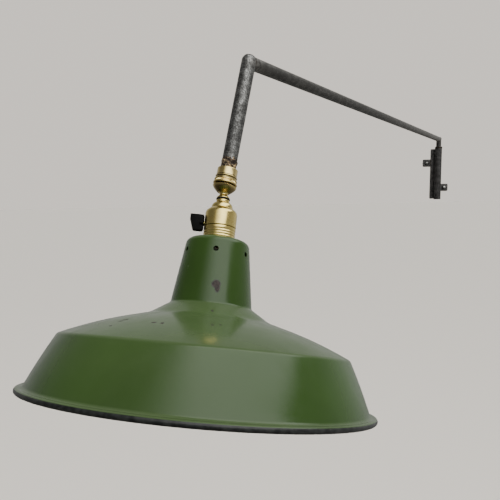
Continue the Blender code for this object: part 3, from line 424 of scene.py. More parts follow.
def arc(centre, radius, start, end, count):
    """Points (r, z) along a circular arc, angles in degrees from +r."""
    points = []
    for step in range(count + 1):
        angle = math.radians(start + (end - start) * step / count)
        points.append((centre[0] + radius * math.cos(angle), centre[1] + radius * math.sin(angle)))
    return points


def softened(corners, closed=True, steps=4):
    """Rounds the corners of an outline: each corner is (r, z) or (r, z, rounding)."""
    points = []
    count = len(corners)
    for index, corner in enumerate(corners):
        here = Vector(corner[:2])
        size = corner[2] if len(corner) > 2 else 0.0
        if not size or (not closed and index in (0, count - 1)):
            points.append(tuple(here))
            continue
        before = Vector(corners[index - 1][:2]) - here
        after = Vector(corners[(index + 1) % count][:2]) - here
        reach = min(size, 0.48 * before.length, 0.48 * after.length)
        start = here + before.normalized() * reach
        end = here + after.normalized() * reach
        for step in range(steps + 1):
            share = step / steps
            near = start.lerp(here, share)
            far = here.lerp(end, share)
            points.append(tuple(near.lerp(far, share)))
    return points


def outer_line():
    """Outer line of the shade from its top hole down to the lip."""
    neck_foot = SHADE_TOP - NECK_DEPTH
    flare_foot = neck_foot - FLARE_DEPTH
    shoulder = flare_foot - CONE_DEPTH
    skirt_foot = shoulder - SKIRT_DEPTH
    skirt_radius = RIM_RADIUS - LIP_WIDTH
    line = [(SHADE_HOLE_RADIUS, SHADE_TOP), (SHADE_HOLE_RADIUS + 6 * MM, SHADE_TOP)]
    taper = math.degrees(math.atan2(NECK_BASE - NECK_TOP, NECK_DEPTH))
    line += arc((NECK_TOP - NECK_ROUND, SHADE_TOP - NECK_ROUND), NECK_ROUND, 90, taper, 12)
    top_r, top_z = line[-1]
    neck_steps = 8
    for step in range(1, neck_steps):
        share = step / neck_steps
        line.append((top_r + share * (NECK_BASE - top_r), top_z + share * (neck_foot + 0.8 * MM - top_z)))
    crease = softened(
        [(line[-1][0], line[-1][1]), (NECK_BASE, neck_foot, 2.0 * MM), (FLARE_RADIUS, flare_foot, 7 * MM),
         (FLARE_RADIUS + 24 * MM, flare_foot - 4.2 * MM)],
        closed=False, steps=6,
    )
    line += crease[1:-1]
    cone_steps = 14
    start_share = 0.16
    for step in range(cone_steps):
        share = start_share + (0.93 - start_share) * step / (cone_steps - 1)
        line.append((
            FLARE_RADIUS + share * (SHOULDER_RADIUS - FLARE_RADIUS),
            flare_foot - share * CONE_DEPTH + 4 * CONE_CROWN * share * (1 - share),
        ))
    cone_fall = math.degrees(math.atan2(CONE_DEPTH + 4 * CONE_CROWN, SHOULDER_RADIUS - FLARE_RADIUS))
    skirt_lean = math.degrees(math.atan2(skirt_radius - SHOULDER_RADIUS, SKIRT_DEPTH))
    start = 90 - cone_fall
    centre = (
        SHOULDER_RADIUS - SHOULDER_ROUND * math.cos(math.radians(start)),
        shoulder - SHOULDER_ROUND * math.sin(math.radians(start)),
    )
    line += arc(centre, SHOULDER_ROUND, start, skirt_lean, 9)
    from_r, from_z = line[-1]
    skirt_steps = 7
    for step in range(1, skirt_steps + 1):
        share = step / skirt_steps
        bow = 0.7 * MM * math.sin(math.pi * share)
        line.append((from_r + share * (skirt_radius - from_r) + bow, from_z + share * (skirt_foot - from_z)))
    return line


SHADE_LINE = outer_line()


def on_shade(heading, drop, proud=0.0):
    """A place on the shade's outside, by degrees round the lamp and the drop below its top."""
    height = SHADE_TOP - drop
    for (near_r, near_z), (far_r, far_z) in zip(SHADE_LINE, SHADE_LINE[1:]):
        if far_z <= height < near_z:
            radius = near_r + (far_r - near_r) * (near_z - height) / (near_z - far_z) + proud
    angle = math.radians(heading)
    return radius * math.cos(angle), radius * math.sin(angle), height


# ---------------------------------------------------------------- finishes


def enamel(name, base, shift, chips, roughness):
    """Fired enamel: cloudy depth, fine orange peel, and the chips down to dark iron."""
    made, tree, shader, spot = finish(
        name, LAMP, base, Specular_IOR_Level=0.34, Coat_Weight=0.05, Coat_Roughness=0.12
    )
    cloud = noise(tree, spot, 9.0, 3, 0.5)
    speck = stepped(tree, noise(tree, spot, 900.0, 2, 0.5), 0.68, 0.78)
    pale = tuple(min(1, tone * (1 + shift)) for tone in base)
    deep = tuple(tone * (1 - shift) for tone in base)
    colour = blended(tree, stepped(tree, cloud, 0.35, 0.65), (*deep, 1), (*pale, 1))
    colour = blended(tree, maths(tree, "MULTIPLY", speck, 0.25), colour, (*deep, 1))
    peel = noise(tree, spot, 260.0, 2, 0.4)
    ripple = noise(tree, spot, 26.0, 2, 0.4)
    height = maths(tree, "MULTIPLY_ADD", ripple, 2.2, peel)
    bare, edge = 0.0, 0.0
    for centre, size, ragged in chips:
        chip = effect(tree, CHIP, Place=spot, Centre=centre, Size=size, Ragged=ragged)
        bare = maths(tree, "MAXIMUM", chip["Bare"], bare)
        edge = maths(tree, "MAXIMUM", chip["Edge"], edge)
    rough = stepped(tree, noise(tree, spot, 45.0, 4, 0.6), 0.3, 0.8, roughness * 0.8, roughness * 1.5)
    if chips:
        # Painted top light: the up-facing enamel is laid paler, nearly evenly, as if lit from above.
        dust_and_top_light = effect(tree, DUST_AND_TOP_LIGHT, Place=spot, Dust_Scale=60.0, Amount=0.15, Patchiness=0.2, Least_Slope=0.5)
        colour = blended(tree, dust_and_top_light["Dust"], colour, (0.22, 0.25, 0.16, 1))
        rust = effect(tree, MOTTLE, Place=spot, Patch_Scale=500.0, Fleck_Scale=1500.0)
        iron = blended(tree, rust["Patches"], (0.016, 0.013, 0.012, 1), (0.045, 0.034, 0.030, 1))
        colour = blended(tree, maths(tree, "MULTIPLY", edge, 0.75), colour, (0.012, 0.016, 0.010, 1))
        colour = blended(tree, bare, colour, iron)
        rough = maths(tree, "MULTIPLY_ADD", bare, 0.5, rough)
        height = maths(tree, "MULTIPLY_ADD", bare, -14.0, height)
    return wired(made, tree, shader, colour, rough, height, 0.10, 0.4 * MM)


def white_enamel():
    """White ground inside, painted near black towards the top of the neck as the shade deep inside it."""
    base = (0.74, 0.73, 0.68)
    made, tree, shader, spot = finish("white_enamel", LAMP, base, Coat_Weight=0.1, Coat_Roughness=0.12)
    height = put(tree, "ShaderNodeSeparateXYZ", {0: spot}).outputs["Z"]
    drift = maths(tree, "MULTIPLY_ADD", noise(tree, spot, 40.0, 4, 0.6), 30 * MM, height)
    # Painted shade: the enamel goes near black towards the top of the neck, where shade falls inside.
    burnt_and_shaded = stepped(tree, drift, -150 * MM, -85 * MM)
    cloud = effect(tree, MOTTLE, Place=spot, Patch_Scale=12.0, Fleck_Scale=160.0)
    colour = blended(tree, cloud["Patches"], (0.74, 0.73, 0.68, 1), (0.70, 0.685, 0.62, 1))
    colour = blended(tree, burnt_and_shaded, colour, (0.030, 0.022, 0.016, 1))
    return wired(
        made, tree, shader, colour, stepped(tree, burnt_and_shaded, 0, 1, 0.16, 0.6), cloud["Flecks"], 0.06, 0.3 * MM
    )


def rim_enamel():
    """Black enamel on the rolled rim, knocked through to iron along its outer edge."""
    base = (0.012, 0.013, 0.014)
    made, tree, shader, spot = finish("rim_enamel", LAMP, base, Specular_IOR_Level=0.35)
    knocks = stepped(tree, noise(tree, spot, 70.0, 5, 0.7), 0.66, 0.74)
    grey = effect(tree, MOTTLE, Place=spot, Patch_Scale=160.0, Fleck_Scale=700.0)
    colour = blended(tree, grey["Patches"], (0.007, 0.008, 0.008, 1), (0.020, 0.022, 0.021, 1))
    colour = blended(tree, knocks, colour, (0.055, 0.050, 0.045, 1))
    return wired(
        made, tree, shader, colour, stepped(tree, knocks, 0, 1, 0.34, 0.65),
        maths(tree, "MULTIPLY_ADD", knocks, -3.0, grey["Flecks"]), 0.25, 0.3 * MM,
    )


def turned_brass(name, place, tone, roughness, grooves=(), shaded_below=None):
    """Polished brass with lathe rings, faint streaks and brown tarnish in smudges; painted shade and dirt along
    grooves, painted shade on undersides.
    """
    made, tree, shader, spot = finish(name, place, tone, Metallic=1.0, Coat_Weight=0.15, Coat_Roughness=0.15)
    marks = effect(tree, LATHE_MARKS, Place=spot, Ring_Scale=900.0)
    wear = effect(tree, EDGE_WEAR, Place=spot, Break_Scale=300.0, Amount=0.6)
    warm = tuple(part * share for part, share in zip(tone, (0.82, 0.76, 0.62)))
    pale = tuple(min(1, part * 1.16) for part in tone)
    colour = blended(tree, maths(tree, "MULTIPLY", marks["Smudges"], 0.45), (*tone, 1), (*warm, 1))
    colour = blended(tree, stepped(tree, marks["Rings"], 0.30, 0.70, 0, 0.35), colour, (*warm, 1))
    colour = blended(tree, wear["Wear"], colour, (*pale, 1))
    rough = stepped(tree, marks["Streaks"], 0.3, 0.7, roughness, roughness + 0.10)
    rough = maths(tree, "MULTIPLY_ADD", marks["Smudges"], 0.07, rough)
    along = put(tree, "ShaderNodeSeparateXYZ", {0: spot}).outputs["Z"]
    # Painted shade: below the given height the brass turns darker and browner, as the underside lies in shade.
    if shaded_below is not None:
        brown = tuple(part * share for part, share in zip(tone, (0.42, 0.38, 0.36)))
        colour = blended(
            tree, stepped(tree, along, shaded_below, shaded_below - 3.0 * MM, 0, 0.85), colour, (*brown, 1)
        )
    # Painted shade: a near-black line along each groove, where shade falls, with some dirt.
    for height, half_width in grooves:
        away = maths(tree, "ABSOLUTE", maths(tree, "SUBTRACT", along, height))
        groove_shade_and_dirt = stepped(tree, away, half_width, 0.5 * half_width)
        colour = blended(tree, groove_shade_and_dirt, colour, (0.030, 0.020, 0.012, 1))
    return wired(made, tree, shader, colour, rough, marks["Rings"], 0.10, 0.02 * MM)


def tube_steel(name, place, dark, light, roughness, fleck=1.0, paler_from=None):
    """Bare tube blackened by heat, with mill scale rubbed off in flecks along its length."""
    made, tree, shader, spot = finish(name, place, dark, Metallic=0.80)
    scale = effect(tree, MOTTLE, Place=spot, Patch_Scale=95.0, Fleck_Scale=520.0, Low=0.36, High=0.66)
    drawn = noise(tree, spot, 260.0, 4, 0.6, stretch=(1, 1, 0.09))
    wear = effect(tree, EDGE_WEAR, Place=spot, Break_Scale=160.0, Amount=0.5)
    dust_and_top_light = effect(tree, DUST_AND_TOP_LIGHT, Place=spot, Dust_Scale=120.0, Amount=0.22)
    share = maths(tree, "MULTIPLY_ADD", scale["Flecks"], 0.55 * fleck, maths(tree, "MULTIPLY", drawn, 0.45))
    share = maths(tree, "MULTIPLY", share, stepped(tree, scale["Patches"], 0, 1, 0.45, 1.0))
    colour = blended(tree, share, (*dark, 1), (*light, 1))
    # Paler towards the pivot end, from the given distance along the tube inwards.
    if paler_from is not None:
        along = put(tree, "ShaderNodeSeparateXYZ", {0: spot}).outputs["Z"]
        colour = blended(tree, stepped(tree, along, paler_from, 0.0, 0, 0.75), colour, (0.20, 0.19, 0.18, 1))
    colour = blended(tree, wear["Wear"], colour, (0.34, 0.33, 0.31, 1))
    colour = blended(tree, dust_and_top_light["Dust"], colour, (0.30, 0.28, 0.25, 1))
    height = maths(tree, "MULTIPLY_ADD", scale["Flecks"], 0.8, drawn)
    return wired(
        made, tree, shader, colour, stepped(tree, share, 0, 1, roughness + 0.12, roughness - 0.08),
        height, 0.30, 0.12 * MM,
    )


def bracket_iron():
    """Hand-cut bar, waxed black over hot-rolled scale."""
    made, tree, shader, spot = finish("bracket_iron", WALL, (0.04, 0.04, 0.04), Metallic=0.55)
    scale = effect(tree, MOTTLE, Place=spot, Patch_Scale=70.0, Fleck_Scale=420.0)
    wear = effect(tree, EDGE_WEAR, Place=spot, Break_Scale=120.0, Amount=0.7)
    dust_and_top_light = effect(tree, DUST_AND_TOP_LIGHT, Place=spot, Dust_Scale=150.0, Amount=0.35)
    colour = blended(tree, scale["Patches"], (0.022, 0.023, 0.025, 1), (0.070, 0.070, 0.072, 1))
    colour = blended(tree, maths(tree, "MULTIPLY", scale["Flecks"], 0.4), colour, (0.085, 0.075, 0.068, 1))
    colour = blended(tree, wear["Wear"], colour, (0.26, 0.25, 0.24, 1))
    colour = blended(tree, dust_and_top_light["Dust"], colour, (0.26, 0.23, 0.20, 1))
    height = maths(tree, "MULTIPLY_ADD", scale["Patches"], 1.5, scale["Flecks"])
    return wired(
        made, tree, shader, colour, stepped(tree, scale["Flecks"], 0, 1, 0.62, 0.42), height, 0.35,
        0.2 * MM,
    )


def weld_metal():
    """Wire-brushed weld, blued and browned by the heat."""
    made, tree, shader, spot = finish("weld_metal", WALL, (0.10, 0.09, 0.08), Metallic=0.85)
    heat = effect(tree, MOTTLE, Place=spot, Patch_Scale=160.0, Fleck_Scale=900.0)
    colour = blended(tree, heat["Patches"], (0.070, 0.066, 0.066, 1), (0.155, 0.135, 0.115, 1))
    colour = blended(tree, maths(tree, "MULTIPLY", heat["Flecks"], 0.3), colour, (0.25, 0.24, 0.23, 1))
    return wired(
        made, tree, shader, colour, stepped(tree, heat["Flecks"], 0, 1, 0.55, 0.38), heat["Flecks"], 0.3,
        0.1 * MM,
    )


def brazing():
    """Braze round the bush: copper and brass runs between burnt flux and dark scale."""
    made, tree, shader, spot = finish("brazing", DROP, (0.4, 0.25, 0.14), Metallic=0.75)
    runs = effect(tree, MOTTLE, Place=spot, Patch_Scale=170.0, Fleck_Scale=520.0, Low=0.50, High=0.60)
    burnt_and_shaded = stepped(tree, noise(tree, spot, 140.0, 3, 0.65), 0.46, 0.58)
    colour = blended(tree, runs["Patches"], (0.050, 0.030, 0.022, 1), (0.50, 0.35, 0.17, 1))
    colour = blended(tree, maths(tree, "MULTIPLY", runs["Flecks"], 0.5), colour, (0.62, 0.52, 0.36, 1))
    colour = blended(tree, burnt_and_shaded, colour, (0.045, 0.034, 0.028, 1))
    height = maths(tree, "MULTIPLY_ADD", runs["Patches"], 2.0, runs["Flecks"])
    return wired(made, tree, shader, colour, stepped(tree, burnt_and_shaded, 0, 1, 0.30, 0.65), height, 0.6, 0.3 * MM)


def plated(name, place, tone, roughness):
    """Plated or cast bright metal with fine scratches and dull patches."""
    made, tree, shader, spot = finish(name, place, tone, Metallic=1.0)
    dull = effect(tree, MOTTLE, Place=spot, Patch_Scale=180.0, Fleck_Scale=1200.0)
    wear = effect(tree, EDGE_WEAR, Place=spot, Break_Scale=400.0, Amount=0.6)
    shade_tone = tuple(part * 0.6 for part in tone)
    colour = blended(tree, maths(tree, "MULTIPLY", dull["Patches"], 0.6), (*tone, 1), (*shade_tone, 1))
    colour = blended(tree, wear["Wear"], colour, (*(min(1, part * 1.3) for part in tone), 1))
    return wired(
        made, tree, shader, colour, stepped(tree, dull["Flecks"], 0, 1, roughness, roughness + 0.2),
        dull["Flecks"], 0.15, 0.05 * MM,
    )


def moulded(name, place, tone, roughness, grain, coat=0.0, gloss=0.5):
    """Moulded or fired insulating stuff: a fine grain and a slightly uneven gloss."""
    made, tree, shader, spot = finish(
        name, place, tone, Coat_Weight=coat, Coat_Roughness=0.08, Specular_IOR_Level=gloss
    )
    grains = effect(tree, MOTTLE, Place=spot, Patch_Scale=grain, Fleck_Scale=grain * 6)
    pale = tuple(min(1, part * 1.5 + 0.002) for part in tone)
    colour = blended(tree, maths(tree, "MULTIPLY", grains["Patches"], 0.5), (*tone, 1), (*pale, 1))
    return wired(
        made, tree, shader, colour, stepped(tree, grains["Flecks"], 0, 1, roughness, roughness + 0.12),
        grains["Flecks"], 0.08, 0.05 * MM,
    )


def opal_glass():
    made, tree, shader, spot = finish(
        "opal_glass", LAMP, (0.86, 0.85, 0.81), Subsurface_Weight=0.3, Subsurface_Scale=0.01, Coat_Weight=0.4
    )
    milk = effect(tree, MOTTLE, Place=spot, Patch_Scale=30.0, Fleck_Scale=300.0)
    colour = blended(tree, milk["Patches"], (0.82, 0.81, 0.77, 1), (0.90, 0.89, 0.86, 1))
    tree.links.new(colour, shader["Base Color"])
    tree.links.new(stepped(tree, milk["Flecks"], 0, 1, 0.12, 0.2), shader["Roughness"])
    return made


CHIPS = (  # place on the shade, reach along the lamp head's axes, raggedness
    (on_shade(-84, 60 * MM), (4.8 * MM, 6 * MM, 4.9 * MM), 0.5),
    (on_shade(-82, 64 * MM), (2.9 * MM, 6 * MM, 5.2 * MM), 0.45),
    (on_shade(-130, 112 * MM), (3.6 * MM, 1.8 * MM, 4 * MM), 1.3),
    (on_shade(-130, 114 * MM), (2.6 * MM, 1.5 * MM, 4 * MM), 1.2),
    (on_shade(-128, 120 * MM), (1.5 * MM, 1.5 * MM, 3 * MM), 0.9),
    (on_shade(-112, 113 * MM), (2.4 * MM, 1.6 * MM, 4 * MM), 1.1),
    (on_shade(-108, 113 * MM), (1.7 * MM, 2.2 * MM, 3 * MM), 0.8),
    (on_shade(-86, 92 * MM), (1.3 * MM, 1.5 * MM, 2 * MM), 1.0),
    (on_shade(-86, 110 * MM), (1.2 * MM, 1.4 * MM, 2 * MM), 1.0),
    (on_shade(-82, 109 * MM), (1.3 * MM, 1.2 * MM, 2 * MM), 1.0),
    (on_shade(62, 114 * MM, 3.5 * MM), (3 * MM, 4 * MM, 5 * MM), 1.0),
    (on_shade(135, 164 * MM), (4 * MM, 4 * MM, 5 * MM), 0.8),
    (on_shade(-36, 178 * MM, -3.5 * MM), (2.5 * MM, 3 * MM, 2 * MM), 0.9),
)

GREEN_ENAMEL = enamel("green_enamel", (0.026, 0.058, 0.0115), 0.10, CHIPS, 0.19)
WHITE_ENAMEL = white_enamel()
RIM_ENAMEL = rim_enamel()
# Grooves of the ball joint that get a painted shade line, with some dirt.
SHADED_JOINT_GROOVES = (  # height, half width
    (LOCK_RING_FOOT - 0.5 * MM, 1.1 * MM), (LOCK_RING_TOP + 0.4 * MM, 0.7 * MM),
    (CUP_BEAD_Z - 1.3 * MM, 0.5 * MM), (CUP_BEAD_Z + 1.4 * MM, 0.5 * MM),
)
# The joint brass is painted darker and browner below 0.2 mm in the drop tube's frame, as shade on its underside.
JOINT_BRASS = turned_brass("joint_brass", DROP, (0.88, 0.70, 0.30), 0.17, SHADED_JOINT_GROOVES, 0.2 * MM)
HOLDER_BRASS = turned_brass("holder_brass", LAMP, (0.95, 0.77, 0.28), 0.19)
# Painted shade: a dark copy of the holder brass for the thread and clamping ring, which sit in shadow under the
# shade's top.
SHADE_DARKENED_BRASS = plated("shade_darkened_brass", LAMP, (0.16, 0.10, 0.05), 0.5)
WALL_BRONZE = plated("bearing_bronze", WALL, (0.10, 0.070, 0.042), 0.48)
ARM_STEEL = tube_steel(
    "arm_steel", ARM, (0.045, 0.043, 0.040), (0.15, 0.145, 0.137), 0.42, 0.7, paler_from=0.95
)
DROP_STEEL = tube_steel("drop_steel", DROP, (0.022, 0.021, 0.020), (0.26, 0.26, 0.255), 0.40, 1.45)
PIN_STEEL = tube_steel("pin_steel", PIVOT, (0.060, 0.058, 0.055), (0.16, 0.155, 0.15), 0.42, 0.7)
BRACKET_IRON = bracket_iron()
WELD_METAL = weld_metal()
BRAZING = brazing()
ZINC = plated("bright_zinc", WALL, (0.60, 0.60, 0.58), 0.30)
DULL_ZINC = plated("dulled_zinc", WALL, (0.085, 0.082, 0.078), 0.55)
LAMP_ZINC = plated("cap_zinc", LAMP, (0.62, 0.62, 0.60), 0.28)
FIBRE = moulded("seat_fibre", DROP, (0.28, 0.10, 0.055), 0.6, 160.0)
RUBBER = moulded("ring_rubber", LAMP, (0.008, 0.007, 0.006), 0.60, 120.0, gloss=0.2)
BLACK_RESIN = moulded("black_resin", SWITCH, (0.0010, 0.0010, 0.0010), 0.30, 60.0, gloss=0.07)
PORCELAIN = moulded("porcelain", LAMP, (0.78, 0.76, 0.70), 0.14, 40.0, coat=0.3)
OPAL_GLASS = opal_glass()


# ---------------------------------------------------------------- mesh helpers


def turned(outline, sides=ROUND_SIDES):
    """A turned mesh from an outline of (r, z): open on the axis, or a closed loop for a ring."""
    solid = outline[0][0] < 1e-7 and outline[-1][0] < 1e-7
    made = bmesh.new()
    rings = []
    for r, z in outline:
        if r < 1e-7:
            rings.append([made.verts.new((0, 0, z))])
            continue
        ring = []
        for step in range(sides):
            angle = 2 * math.pi * step / sides
            ring.append(made.verts.new((r * math.cos(angle), r * math.sin(angle), z)))
        rings.append(ring)
    pairs = list(zip(rings, rings[1:]))
    if not solid:
        pairs.append((rings[-1], rings[0]))
    for low, high in pairs:
        for step in range(sides):
            following = (step + 1) % sides
            corners = [low[step % len(low)], low[following % len(low)]]
            corners += [high[following % len(high)], high[step % len(high)]]
            distinct = list(dict.fromkeys(corners))
            if len(distinct) > 2:
                made.faces.new(distinct)
    bmesh.ops.recalc_face_normals(made, faces=made.faces)
    return made


def flat_ring(bore, radius, low, high, low_round, high_round):
    """A turned ring with a square bore and its two outer edges rounded."""
    return turned(softened([(bore, low), (radius, low, low_round), (radius, high, high_round), (bore, high)]))


def piece(name, shape, place, body, material, stands_for=(), sharp=32):
    """Turns a bmesh or a mesh into a finished piece that rides on a body."""
    if isinstance(shape, bmesh.types.BMesh):
        mesh = bpy.data.meshes.new(name)
        shape.to_mesh(mesh)
        shape.free()
    else:
        mesh = shape
        mesh.name = name
    mesh.transform(place)
    if material:
        mesh.materials.clear()
        mesh.materials.append(material)
    mesh.shade_smooth()
    mesh.set_sharp_from_angle(angle=math.radians(sharp))
    made = bpy.data.objects.new(name, mesh)
    bpy.context.scene.collection.objects.link(made)
    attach(made, body)
    if stands_for:
        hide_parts(*stands_for)
    return made


def shaken(made, size, scale, seed=3.0):
    """Pushes points in and out a little, as hand work leaves them."""
    made.normal_update()
    for vert in made.verts:
        vert.co += vert.normal * size * noise_field.noise(vert.co * scale + Vector((seed, seed, seed)))
    return made


def evaluated_mesh(made):
    """The object's mesh with its modifiers, as a plain mesh; the object goes."""
    bpy.context.view_layer.update()
    result = bpy.data.meshes.new_from_object(made.evaluated_get(bpy.context.evaluated_depsgraph_get()))
    bpy.data.objects.remove(made, do_unlink=True)
    return result


def loose(shape, name="blank"):
    mesh = bpy.data.meshes.new(name)
    shape.to_mesh(mesh)
    shape.free()
    made = bpy.data.objects.new(name, mesh)
    bpy.context.scene.collection.objects.link(made)
    return made


def bevelled(shape, width, segments=3, angle=40):
    made = loose(shape)
    ease = made.modifiers.new("eased edges", "BEVEL")
    ease.width = width
    ease.segments = segments
    ease.limit_method = "ANGLE"
    ease.angle_limit = math.radians(angle)
    return evaluated_mesh(made)


def plate(corners, thickness, hole=None, hole_radius=0.0):
    """A flat bar cut to an outline of (x, z), its back on the wall, drilled if asked."""
    made = bmesh.new()
    face = made.faces.new([made.verts.new((x, 0, z)) for x, z in corners])
    grown_part = bmesh.ops.extrude_face_region(made, geom=[face])
    moved = [item for item in grown_part["geom"] if isinstance(item, bmesh.types.BMVert)]
    bmesh.ops.translate(made, vec=(0, -thickness, 0), verts=moved)
    bmesh.ops.recalc_face_normals(made, faces=made.faces)
    solid = loose(made)
    drill = None
    if hole:
        bit = turned([(0, -2 * thickness), (hole_radius, -2 * thickness), (hole_radius, 2 * thickness),
                      (0, 2 * thickness)], 32)
        bmesh.ops.rotate(bit, matrix=Matrix.Rotation(math.pi / 2, 3, "X"), verts=bit.verts)
        bmesh.ops.translate(bit, vec=(hole[0], 0, hole[1]), verts=bit.verts)
        drill = loose(bit, "drill")
        cut = solid.modifiers.new("drilled", "BOOLEAN")
        cut.object = drill
        cut.solver = "EXACT"
    ease = solid.modifiers.new("eased edges", "BEVEL")
    ease.width = 0.8 * MM
    ease.segments = 3
    ease.limit_method = "ANGLE"
    ease.angle_limit = math.radians(50)
    result = evaluated_mesh(solid)
    if drill:
        bpy.data.objects.remove(drill, do_unlink=True)
    return result


# ---------------------------------------------------------------- growing trees


WHOLE, MATERIAL, GEOMETRY = "NodeSocketInt", "NodeSocketMaterial", "NodeSocketGeometry"


def growing_tree(name, inputs):
    tree = bpy.data.node_groups.new(name, "GeometryNodeTree")
    tree.is_modifier = True
    tree.interface.new_socket("Geometry", in_out="INPUT", socket_type=GEOMETRY)
    for label, kind in inputs:
        tree.interface.new_socket(label, in_out="INPUT", socket_type=kind)
    tree.interface.new_socket("Geometry", in_out="OUTPUT", socket_type=GEOMETRY)
    return tree, tree.nodes.new("NodeGroupInput").outputs


def ended(tree, geometry, material):
    """Realizes what was placed and gives it its material, as the tree's end."""
    real = put(tree, "GeometryNodeRealizeInstances", {"Geometry": geometry}).outputs[0]
    painted = put(tree, "GeometryNodeSetMaterial", {"Geometry": real, "Material": material}).outputs[0]
    put(tree, "NodeGroupOutput", {"Geometry": painted})


def grown(tree, values, start=None):
    """Runs a growing tree over a starting mesh and returns the plain mesh."""
    seed = loose(start if start else bmesh.new(), "seed")
    growth = seed.modifiers.new("growth", "NODES")
    growth.node_group = tree
    for item in tree.interface.items_tree:
        if item.item_type == "SOCKET" and item.in_out == "INPUT" and item.name in values:
            growth[item.identifier] = values[item.name]
    return evaluated_mesh(seed)


def knurl_tree():
    """Upright ridges set evenly round a ring."""
    tree, given = growing_tree(
        "knurled band",
        [("Ridge Count", WHOLE), ("Ring Radius", NUMBER), ("Ridge Height", NUMBER),
         ("Ridge Width", NUMBER), ("Ridge Z", NUMBER), ("Material", MATERIAL)],
    )
    ring = put(
        tree, "GeometryNodeMeshCircle", {"Vertices": given["Ridge Count"], "Radius": given["Ring Radius"]}
    )
    size = put(
        tree, "ShaderNodeCombineXYZ",
        {0: given["Ridge Width"], 1: given["Ridge Width"], 2: given["Ridge Height"]}
    )
    ridge = put(tree, "GeometryNodeMeshCube", {"Size": size.outputs[0]})
    diamond = put(
        tree, "GeometryNodeTransform", {"Geometry": ridge.outputs[0], "Rotation": (0, 0, math.pi / 4)}
    )
    step = maths(tree, "DIVIDE", 2 * math.pi, given["Ridge Count"])
    heading = maths(tree, "MULTIPLY", put(tree, "GeometryNodeInputIndex").outputs[0], step)
    turn = put(tree, "ShaderNodeCombineXYZ", {2: heading}).outputs[0]
    placed = put(
        tree, "GeometryNodeInstanceOnPoints",
        {"Points": ring.outputs[0], "Instance": diamond.outputs[0], "Rotation": turn},
    )
    lift = put(tree, "ShaderNodeCombineXYZ", {2: given["Ridge Z"]}).outputs[0]
    lifted = put(tree, "GeometryNodeTransform", {"Geometry": placed.outputs[0], "Translation": lift})
    ended(tree, lifted.outputs[0], given["Material"])
    return tree


def thread_tree():
    """A round-crested screw thread wound on a spiral."""
    tree, given = growing_tree(
        "screw thread",
        [("Thread Radius", NUMBER), ("Pitch", NUMBER), ("Turns", NUMBER), ("Crest", NUMBER),
         ("Thread Foot", NUMBER), ("Material", MATERIAL)],
    )
    height = maths(tree, "MULTIPLY", given["Pitch"], given["Turns"])
    line = put(
        tree, "GeometryNodeCurveSpiral",
        {"Resolution": 56, "Rotations": given["Turns"], "Start Radius": given["Thread Radius"],
         "End Radius": given["Thread Radius"], "Height": height},
    )
    crest = put(
        tree, "GeometryNodeCurvePrimitiveCircle", {"Resolution": 8, "Radius": given["Crest"]},
        mode="RADIUS",
    )
    wound = put(
        tree, "GeometryNodeCurveToMesh",
        {"Curve": line.outputs[0], "Profile Curve": crest.outputs[0], "Fill Caps": True},
    )
    lift = put(tree, "ShaderNodeCombineXYZ", {2: given["Thread Foot"]}).outputs[0]
    lifted = put(tree, "GeometryNodeTransform", {"Geometry": wound.outputs[0], "Translation": lift})
    ended(tree, lifted.outputs[0], given["Material"])
    return tree


